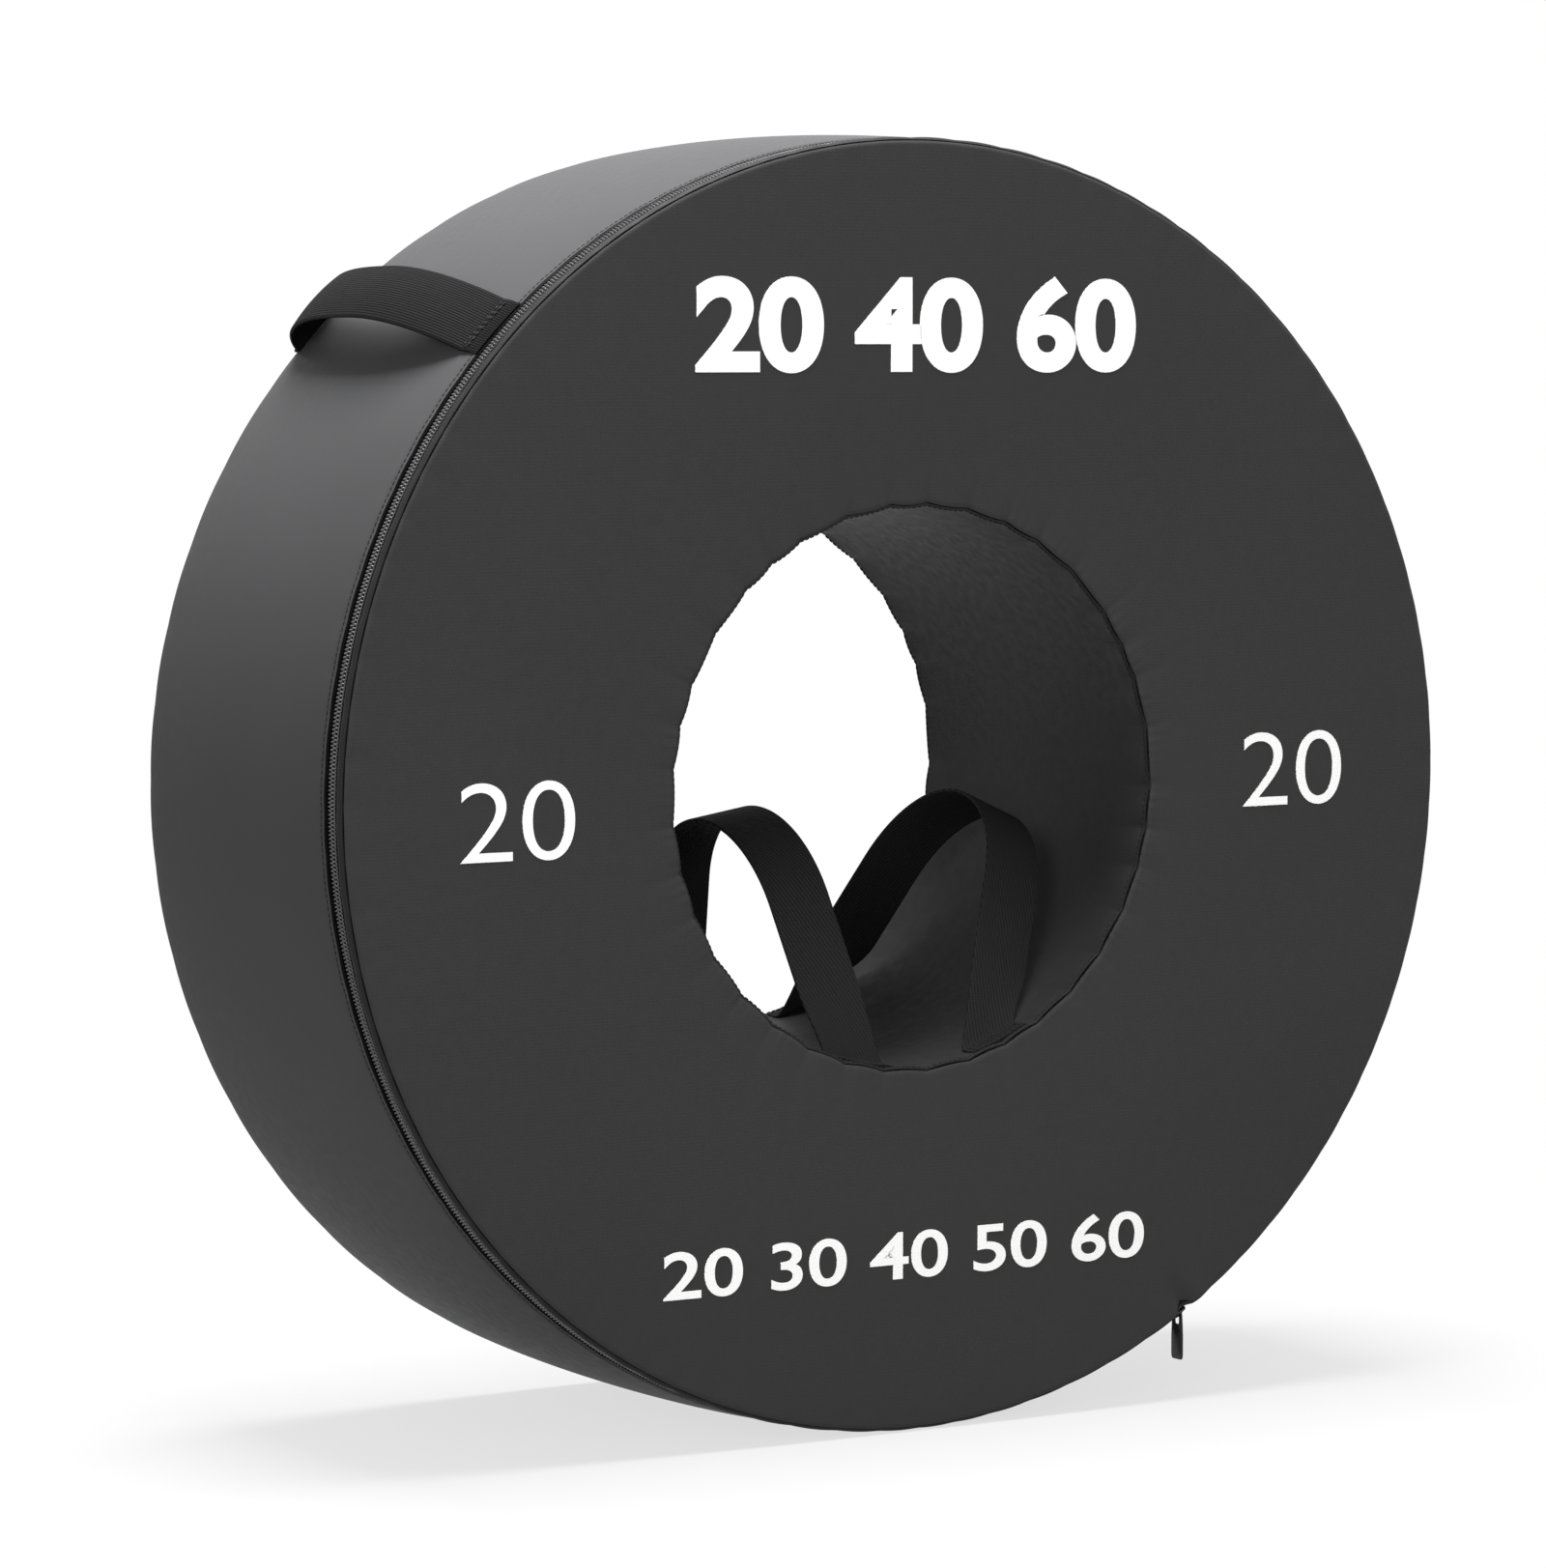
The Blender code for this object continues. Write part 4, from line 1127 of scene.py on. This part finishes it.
def band_normals(surface_at, offsets):
    """Unit normals of a band's lower side: across it, crossed with the way along it."""
    step = 1e-4
    across = surface_at(offsets + step) - surface_at(offsets - step)
    along = np.gradient(surface_at(offsets), axis=0)
    normal = np.cross(across, along)
    return normal / np.linalg.norm(normal, axis=-1, keepdims=True)


def add_band(surface, surface_at, width, thickness, ease_in=0.0):
    """Webbing laid on a lower side. surface_at gives that side's points for places across it.

    Each point of the section stands on the lower side at its place across, raised by its
    height along the normal there. Over the length ease_in it grows from a fifth of its
    thickness, where its end is sewn flat under a seam. The ends are closed.
    """
    section = band_section(width, thickness)
    low = surface_at(section[:, 0])
    run = run_along(*surface_at(np.zeros(1))[:, 0].T)
    full = np.clip(run / ease_in, 0.2, 1.0) if ease_in else np.ones_like(run)
    raised = section[None, :, 1:] * full[:, None, None]
    points = low + band_normals(surface_at, section[:, 0]) * raised
    around = np.concatenate([section[:, 0], section[:1, 0]])
    u, v = np.meshgrid(run, around, indexing="ij")
    surface.grid(points, np.stack([u, v], axis=-1), round_columns=True)
    for row in (points[0], points[-1]):
        centre = np.broadcast_to(row.mean(axis=0), row.shape)
        surface.grid(np.stack([row, centre]), round_columns=True)
    return run


def add_stitches(surface, path, normal, pitch, thread):
    """Stitches along a path: beads three quarters of the pitch long, half sunk in the cloth."""
    run = run_along(*path.T)
    count = max(1, int(run[-1] / pitch))
    place = (np.arange(count) + 0.5) * run[-1] / count

    def at(distance, line):
        return np.stack([np.interp(distance, run, line[:, k]) for k in range(3)], axis=-1)

    origin = at(place, path)
    along = at(place + thread, path) - at(place - thread, path)
    up = at(place, normal)
    along /= np.linalg.norm(along, axis=1, keepdims=True)
    side = np.cross(up, along)
    side /= np.linalg.norm(side, axis=1, keepdims=True)
    up = np.cross(along, side)
    unit, quads, lie = bead(5, 6)
    axes = np.stack([along * pitch * 0.40, side * thread * 0.5, up * thread * 0.5], axis=1)
    surface.copies(unit, quads, origin + up * thread * 0.25, axes, lie)


def handle_rise(share):
    """The arch of a handle: one less the share to a power, to a second power.

    The powers make it slope gently at the front and stand steeply at the back.
    """
    rise = bpy.context.scene.tackle_wheel_sizes.handle_rise
    flat = np.where(share < 0.0, 2.0, 3.2)
    steep = np.where(share < 0.0, 0.95, 0.5)
    return rise * np.clip(1.0 - np.abs(share) ** flat, 0.0, 1.0) ** steep


def handle_path(front, back):
    """A handle's places along the axis and its heights, evenly spaced along the curve."""
    arch_front, arch_back = front + 0.006, back - 0.004  # where the webbing leaves the rim
    share = -np.cos(np.linspace(0.0, math.pi, 400))
    y = (arch_front + arch_back) / 2.0 + (arch_back - arch_front) / 2.0 * share
    flat, soft = 30, 15  # points in each flat end, and points that each height is the mean of
    y = np.concatenate([np.linspace(PANEL_FRONT + 0.0008, arch_front, flat)[:-1], y,
                        np.linspace(arch_back, back, flat)[1:]])
    rise = np.pad(handle_rise(share), flat - 1 + soft // 2)
    rise = np.convolve(rise, np.ones(soft) / soft, mode="valid")
    run = run_along(y, rise)
    even = np.linspace(0.0, run[-1], 190)
    return np.interp(even, run, y), np.interp(even, run, rise)


def band_points(surface_at, run, line, lift):
    """Points and normals over a band along a line of places along and across it.

    Each is taken in proportion between the two rows of points that it lies between.
    """
    places, offsets = line.T
    step = np.interp(places, run, np.arange(len(run)))
    row = np.minimum(step.astype(int), len(run) - 2)
    column = np.arange(len(places))
    part = (step - row)[:, None]
    low, ups = (
        grid[row, column] * (1.0 - part) + grid[row + 1, column] * part
        for grid in (surface_at(offsets), band_normals(surface_at, offsets))
    )
    return low + ups * lift, ups


def box_path(start, length, half_across):
    """A rectangle with its two diagonals, as lines of places along and across a band."""
    corners = np.array([
        [start, -half_across], [start + length, -half_across],
        [start + length, half_across], [start, half_across],
    ])
    joins = ((0, 1), (1, 2), (2, 3), (3, 0), (0, 2), (3, 1))
    return [np.linspace(corners[a], corners[b], 40) for a, b in joins]


def stitch_end(surface_at, run, box, band, thickness, look):
    """Sew one end of a band down with a crossed box. band is its piece, side and end."""
    sizes = bpy.context.scene.tackle_wheel_sizes
    piece, side, end = band
    surface = Surface()
    for line in box_path(*box):
        spots, ups = band_points(surface_at, run, line, thickness)
        add_stitches(surface, spots, ups, sizes.stitch_pitch, sizes.thread)
    surface.build(f"{piece}_stitches_{side}_{end}", look, "wheel",
                  (f"{piece}_stitch_{side}_{end}",), weld=False, sharp=60.0)


class TACKLEWHEEL_OT_handles(bpy.types.Operator):
    """Arch the carry handles over the rim and stitch their ends"""

    bl_idname = "tackle_wheel.handles"
    bl_label = "Carry handles"

    def execute(self, context):
        sizes = context.scene.tackle_wheel_sizes
        colours = context.scene.tackle_wheel_colours
        # The seam entry is painted shade: it darkens the webbing's front end over 15 mm towards
        # the rim panel's fold.
        look = webbing(
            "woven polypropylene webbing", colours.webbing, rib=0.0015, pick=0.0012, slant=0.0,
            ribs_show=0.28, seam=(PANEL_FRONT + 0.001, PANEL_FRONT + 0.016, 0.35),
        )
        thread_look = sewing_thread("bonded thread, handles", colours.thread)
        for side in ("left", "right"):
            name = "carry_handle_" + side
            low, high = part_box(name)
            centre = math.atan2((low[2] + high[2]) / 2.0, (low[0] + high[0]) / 2.0)
            centre = math.radians(round(math.degrees(centre)))
            y, rise = handle_path(low[1], high[1])
            y = y[:, None]
            lie = skin(y) + rim_swell(np.full_like(y, centre), 0.0, y) + 0.0004
            out = turned(1.0, 0.0, centre)
            # The webbing cups by 1.4 mm where it stands free, its edges lower than its middle.
            sag = 0.0014 * np.sin(np.clip(rise / sizes.handle_rise, 0.0, 1.0) * math.pi / 2)

            def surface_at(offset):
                angle = centre - offset[None, :] / RIM
                points = turned(lie, y, angle)
                edge = (2.0 * offset[None, :] / sizes.handle_width) ** 2
                return points + (rise[:, None] - sag[:, None] * edge)[..., None] * out

            surface = Surface()
            run = add_band(surface, surface_at, sizes.handle_width, sizes.handle_thickness,
                           ease_in=0.010)
            surface.build(name + "_webbing", look, "wheel", (name,))
            # Where each box of stitches starts, from the webbing's front end.
            for end, start_run in (("front", 0.0085), ("back", run[-1] - 0.0052)):
                stitch_end(surface_at, run, (start_run, 0.0040, sizes.handle_width * 0.44),
                           ("handle", side, end), sizes.handle_thickness, thread_look)
        return {"FINISHED"}


def strap_half(bed, arch, gap):
    """Half of a ball strap's path as (y, z), from its end to its crest.

    It is a flat tab, a small bend, a straight run that touches both curves, and a round arch.
    """
    bend = 0.0055  # radius of the small bend
    end = FACE - 0.0045
    foot = end - 0.0100  # the tab is 10 mm long
    centre_z = gap - BORE + arch
    arc_radius = arch + gap
    above = centre_z - bed - bend
    apart = math.hypot(foot, above)
    slope = math.atan2(above, foot) + math.asin((arc_radius + bend) / apart)
    turn = np.linspace(0.0, slope, 12)
    bend_y = foot - bend * np.sin(turn)
    bend_z = bed + bend - bend * np.cos(turn)
    over = np.linspace(slope, 0.0, 60)
    arc_y = arc_radius * np.sin(over)
    arc_z = centre_z + arc_radius * np.cos(over)
    return np.concatenate([[end], bend_y, arc_y]), np.concatenate([[bed], bend_z, arc_z])


class TACKLEWHEEL_OT_straps(bpy.types.Operator):
    """Arch the two ball straps through the bore and stitch their ends to the lining"""

    bl_idname = "tackle_wheel.straps"
    bl_label = "Ball straps"

    def execute(self, context):
        sizes = context.scene.tackle_wheel_sizes
        colours = context.scene.tackle_wheel_colours
        look = webbing("ribbed elastic webbing", colours.elastic, rib=0.0021, pick=0.0013,
                       slant=0.35, ribs_show=0.7)
        thread_look = sewing_thread("bonded thread, ball straps", colours.thread)
        gap = HAIR
        # Each strap's place round the bore, and how far its crest leans towards +X.
        for side, degrees, lean in (("left", -101.5, -0.021), ("right", -68.0, 0.056)):
            centre = math.radians(degrees)
            bed_radius = BORE - gap
            seat = turned(bed_radius, 0.0, centre)
            half_y, half_z = strap_half(seat[2], sizes.arch_radius, gap)
            y = np.concatenate([-half_y, half_y[::-1][1:]])
            z = np.concatenate([half_z, half_z[::-1][1:]])
            run = run_along(y, z)
            even = np.linspace(0.0, run[-1], 230)
            y, z = np.interp(even, run, y), np.interp(even, run, z)
            rise = z - seat[2]
            height = rise.max()
            tilt = math.atan2(lean, height)
            flat_across = np.array([math.cos(tilt), 0.0, -math.sin(tilt)])
            # At the lining the strap lies round the bore, and 45 mm above it the strap is flat.
            share = np.clip(rise / 0.045, 0.0, 1.0)
            ease = (share * share * (3.0 - 2.0 * share))[:, None, None]
            middle = np.stack([seat[0] + lean * rise / height, y, z], axis=-1)[:, None]

            def surface_at(offset):
                bed = turned(bed_radius, 0.0, centre + offset / BORE) - seat
                return middle + bed * (1.0 - ease) + flat_across * offset[None, :, None] * ease

            surface = Surface()
            run = add_band(surface, surface_at, sizes.strap_width, sizes.strap_thickness)
            name = "ball_strap_" + side
            surface.build(name + "_webbing", look, "wheel", (name,))
            for end, start_run in (("front", 0.0012), ("back", run[-1] - 0.0082)):
                stitch_end(surface_at, run, (start_run, 0.007, sizes.strap_width * 0.43),
                           ("strap", side, end), sizes.strap_thickness, thread_look)
        return {"FINISHED"}


class TACKLEWHEEL_OT_seams(bpy.types.Operator):
    """Run the seam stitches along the rim panel's fold and round the bore's two edges"""

    bl_idname = "tackle_wheel.seams"
    bl_label = "Seam stitches"

    def execute(self, context):
        sizes = context.scene.tackle_wheel_sizes
        look = sewing_thread("bonded thread, seams", context.scene.tackle_wheel_colours.thread)
        angle = np.linspace(0.0, TURN, 1441)
        out = turned(1.0, 0.0, angle)
        rows = (
            ("rim_topstitch", PANEL_FRONT + TOPSTITCH, 1.0),
            ("bore_stitch_front", BORE_STITCH - FACE, -1.0),
            ("bore_stitch_back", FACE - BORE_STITCH, -1.0),
        )
        for name, y, sign in rows:
            if sign > 0:
                radius = LAND + rim_swell(angle, 0.0, np.full_like(angle, y))
            else:
                side = 1 if y < 0 else -1
                drawn = bore_gather(angle, side) * math.exp(-BORE_STITCH / GATHER_FADE)
                radius = BORE - 0.0006 - drawn
            surface = Surface()
            add_stitches(surface, turned(radius, y, angle), out * sign, sizes.stitch_pitch,
                         sizes.thread)
            surface.build(name + "_thread", look, "wheel", (name,), weld=False,
                          sharp=60.0)
        return {"FINISHED"}


def add_print(name, text, centre, wide, tall, weight, look):
    """Set a line of numbers, make it a thin solid, and lay it on the front face.

    It is fitted to wide by tall metres round its centre, and weight thickens its strokes.
    """
    letters = bpy.data.curves.new(name, "FONT")
    letters.body = text
    letters.offset = weight
    letters.extrude = 0.1
    draft = bpy.data.objects.new(name, letters)
    bpy.context.scene.collection.objects.link(draft)
    graph = bpy.context.evaluated_depsgraph_get()
    mesh = bpy.data.meshes.new_from_object(draft.evaluated_get(graph), depsgraph=graph)
    bpy.data.objects.remove(draft)
    bpy.data.curves.remove(letters)
    shape = bmesh.new()
    shape.from_mesh(mesh)
    bmesh.ops.remove_doubles(shape, verts=shape.verts, dist=1e-4)
    bmesh.ops.triangulate(shape, faces=shape.faces)
    # Long edges are cut, so that the print follows the crown of the face.
    long_edges = [edge for edge in shape.edges if edge.calc_length() > 0.15]
    bmesh.ops.subdivide_edges(shape, edges=long_edges, cuts=3)
    bmesh.ops.triangulate(shape, faces=shape.faces)
    bmesh.ops.recalc_face_normals(shape, faces=shape.faces)
    shape.to_mesh(mesh)
    shape.free()
    points = np.empty(len(mesh.vertices) * 3, np.float32)
    mesh.vertices.foreach_get("co", points)
    points = points.reshape(-1, 3).astype(float)
    low, high = points.min(axis=0), points.max(axis=0)
    flat = ((points - low) / (high - low) - 0.5)[:, :2] * (wide, tall) + centre
    radius = np.hypot(flat[:, 0], flat[:, 1])
    angle = np.arctan2(flat[:, 1], flat[:, 0])
    lift = np.where(points[:, 2] > 0.0, 0.00030, -0.00015)
    front = -FACE - face_swell(angle, radius, 1) - lift
    laid = np.stack([flat[:, 0], front, flat[:, 1]], axis=-1)
    mesh.vertices.foreach_set("co", laid.astype(np.float32).ravel())
    mesh.update()
    mesh.materials.clear()
    finish_piece(name, mesh, look, "wheel", ())


class TACKLEWHEEL_OT_prints(bpy.types.Operator):
    """Print plain numbers above, below and at each side of the bore"""

    bl_idname = "tackle_wheel.prints"
    bl_label = "Prints"

    def execute(self, context):
        height = context.scene.tackle_wheel_sizes.print_height
        look = screen_ink("white screen ink", context.scene.tackle_wheel_colours.ink)
        side = RIM * 0.73
        # The two lines are drawn wider or narrower than the type, to the size of their places.
        for name, text, centre, wide, tall, weight in (
            ("print_left", "20", (0.009 - side, -0.008), height * 1.64, height, -0.008),
            ("print_right", "20", (side - 0.008, 0.002), height * 1.64, height, -0.008),
            ("print_top", "20 40 60", (0.0, RIM * 0.71), RIM * 0.80, RIM * 0.148, 0.036),
            ("print_bottom", "20 30 40 50 60", (-0.006, -RIM * 0.72), RIM * 0.88, RIM * 0.074,
             0.012),
        ):
            add_print(name, text, centre, wide, tall, weight, look)
        return {"FINISHED"}


# Stage


def aim(obj, target):
    """Turn a lamp or a camera so that its -Z looks at the target, with Z up."""
    way = Vector(target) - obj.location
    obj.rotation_euler = way.to_track_quat("-Z", "Y").to_euler()


def compass(azimuth, elevation):
    """A unit vector from the wheel: azimuth in degrees from -Y towards +X, elevation up."""
    az, el = math.radians(azimuth), math.radians(elevation)
    return Vector((math.sin(az) * math.cos(el), -math.cos(az) * math.cos(el), math.sin(el)))


def seen_or_mirrored(tree):
    """1 for rays from the camera and for those that a mirror or a glass passes on."""
    path = add(tree, "ShaderNodeLightPath").outputs
    seen = path["Is Camera Ray"]
    for kind in ("Is Glossy Ray", "Is Transmission Ray"):
        seen = add(tree, "ShaderNodeMath", {0: seen, 1: path[kind]}, 0, operation="MAXIMUM")
    return seen


def soft_lamp(name, place, target, wide, tall, power):
    """A soft box: a rectangular area lamp."""
    data = bpy.data.lights.new(name, "AREA")
    data.shape = "RECTANGLE"
    data.size = wide
    data.size_y = tall
    data.energy = power
    lamp = bpy.data.objects.new(name, data)
    bpy.context.scene.collection.objects.link(lamp)
    lamp.location = place
    aim(lamp, target)
    return lamp


class TACKLEWHEEL_OT_stage(bpy.types.Operator):
    """Lay the pale floor, set the soft lamps and place the camera"""

    bl_idname = "tackle_wheel.stage"
    bl_label = "Stage"

    def execute(self, context):
        scene = context.scene
        white = (1.0, 1.0, 1.0, 1.0)
        made, tree = new_material("pale matte floor paint")
        place = add(tree, "ShaderNodeTexCoord", out="Object")
        seen = seen_or_mirrored(tree)
        tint = add(tree, "ShaderNodeMix", {"Factor": seen, **shades((0.5, 0.5, 0.5), 0.32, 1.0)},
                   "Result", data_type="RGBA")
        paint = add(tree, "ShaderNodeBsdfPrincipled", {"Base Color": tint, "Roughness": 0.9},
                    "BSDF")
        # Near the wheel the floor is paint that takes its shadow, and further off it glows white.
        far = add(tree, "ShaderNodeVectorMath", {0: place}, "Value", operation="LENGTH")
        fade = add(tree, "ShaderNodeMapRange", {
            "Value": far, "From Min": 0.25, "From Max": 1.00, "To Min": 0.66, "To Max": 1.0,
        }, "Result", interpolation_type="SMOOTHSTEP")
        share = add(tree, "ShaderNodeMath", {0: fade, 1: seen}, 0, operation="MULTIPLY")
        glow = add(tree, "ShaderNodeEmission", {"Color": white, "Strength": 1.0}, "Emission")
        mix = add(tree, "ShaderNodeMixShader", {0: share, 1: paint, 2: glow}, "Shader")
        add(tree, "ShaderNodeOutputMaterial", {"Surface": mix})
        surface = Surface()
        spokes = 64
        radius, angle = np.meshgrid(np.linspace(0.0, 30.0, 40),
                                    np.arange(spokes) * TURN / spokes, indexing="ij")
        points = np.stack([radius * np.cos(angle), radius * np.sin(angle),
                           np.full_like(radius, FLOOR - 0.0002)], axis=-1)
        surface.grid(points, round_columns=True)
        mesh = bpy.data.meshes.new("floor")
        mesh.from_pydata(
            np.concatenate(surface.points).tolist(), [], np.concatenate(surface.quads).tolist(),
        )
        mesh.materials.append(made)
        floor = bpy.data.objects.new("floor", mesh)
        scene.collection.objects.link(floor)

        world = bpy.data.worlds.new("studio")
        world.use_nodes = True
        tree = world.node_tree
        tree.nodes.clear()
        seen = seen_or_mirrored(tree)
        # The room lights the wheel faintly, and the camera sees plain white behind it.
        room, backdrop = (
            add(tree, "ShaderNodeBackground", {"Color": white, "Strength": strength},
                "Background")
            for strength in (0.20, 1.0)
        )
        mix = add(tree, "ShaderNodeMixShader", {0: seen, 1: room, 2: backdrop}, "Shader")
        add(tree, "ShaderNodeOutputWorld", {"Surface": mix})
        scene.world = world

        soft_lamp("overhead softbox", (-0.1, 0.0, 2.3), (0.0, 0.0, 0.1), 1.4, 1.2, 170.0)
        soft_lamp("key softbox", (-3.3, -2.7, 0.9), (0.0, 0.0, 0.0), 1.8, 1.8, 78.0)
        soft_lamp("front softbox", (0.3, -3.2, 0.0), (0.0, 0.0, 0.0), 2.2, 2.2, 56.0)

        data = bpy.data.cameras.new("camera")
        # A long lens, fitted to the photograph's outlines of the face, the bore and the rim.
        data.sensor_width = 36.0
        data.lens = 137.8
        data.clip_start = 0.05
        data.clip_end = 200.0
        camera = bpy.data.objects.new("camera", data)
        scene.collection.objects.link(camera)
        # Where the photograph was taken from, in rim radii, and the way that it looks.
        camera.location = compass(-31.83, 4.05) * 9.487 * RIM
        aim(camera, camera.location - compass(-31.50, 4.13))
        scene.camera = camera
        scene.view_settings.view_transform = "Standard"
        return {"FINISHED"}


STEPS = (
    ("tackle_wheel.foam", "Foam core"),
    ("tackle_wheel.faces", "Face panels"),
    ("tackle_wheel.rim", "Rim panel"),
    ("tackle_wheel.edge_strip", "Edge strip"),
    ("tackle_wheel.lining", "Bore lining"),
    ("tackle_wheel.tapes", "Zipper tapes"),
    ("tackle_wheel.teeth", "Zipper teeth"),
    ("tackle_wheel.slider", "Zipper slider"),
    ("tackle_wheel.handles", "Carry handles"),
    ("tackle_wheel.straps", "Ball straps"),
    ("tackle_wheel.seams", "Seam stitches"),
    ("tackle_wheel.prints", "Prints"),
    ("tackle_wheel.stage", "Stage"),
)


class TACKLEWHEEL_PT_panel(bpy.types.Panel):
    """Lists the wheel's pieces, sizes and colours"""

    bl_idname = "TACKLEWHEEL_PT_panel"
    bl_label = "Tackling wheel"
    bl_space_type = "VIEW_3D"
    bl_region_type = "UI"
    bl_category = "Tackling wheel"

    def draw(self, context):
        for step, label in STEPS:
            self.layout.operator(step, text=label)
        for group in (context.scene.tackle_wheel_sizes, context.scene.tackle_wheel_colours):
            box = self.layout.box()
            for name in group.bl_rna.properties.keys():
                if name not in ("rna_type", "name"):
                    box.prop(group, name)


CLASSES = (
    TackleWheelSizes,
    TackleWheelColours,
    TACKLEWHEEL_OT_foam,
    TACKLEWHEEL_OT_faces,
    TACKLEWHEEL_OT_rim,
    TACKLEWHEEL_OT_edge_strip,
    TACKLEWHEEL_OT_lining,
    TACKLEWHEEL_OT_tapes,
    TACKLEWHEEL_OT_teeth,
    TACKLEWHEEL_OT_slider,
    TACKLEWHEEL_OT_handles,
    TACKLEWHEEL_OT_straps,
    TACKLEWHEEL_OT_seams,
    TACKLEWHEEL_OT_prints,
    TACKLEWHEEL_OT_stage,
    TACKLEWHEEL_PT_panel,
)


def register():
    """Add the classes, and give each scene its sizes and colours."""
    for cls in CLASSES:
        bpy.utils.register_class(cls)
    bpy.types.Scene.tackle_wheel_sizes = PointerProperty(type=TackleWheelSizes)
    bpy.types.Scene.tackle_wheel_colours = PointerProperty(type=TackleWheelColours)


def unregister():
    """Take away what register added."""
    del bpy.types.Scene.tackle_wheel_colours
    del bpy.types.Scene.tackle_wheel_sizes
    for cls in reversed(CLASSES):
        bpy.utils.unregister_class(cls)


def main():
    """Register the classes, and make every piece."""
    register()
    for step, _ in STEPS:
        group, name = step.split(".")
        getattr(getattr(bpy.ops, group), name)()


if __name__ == "__main__":
    main()
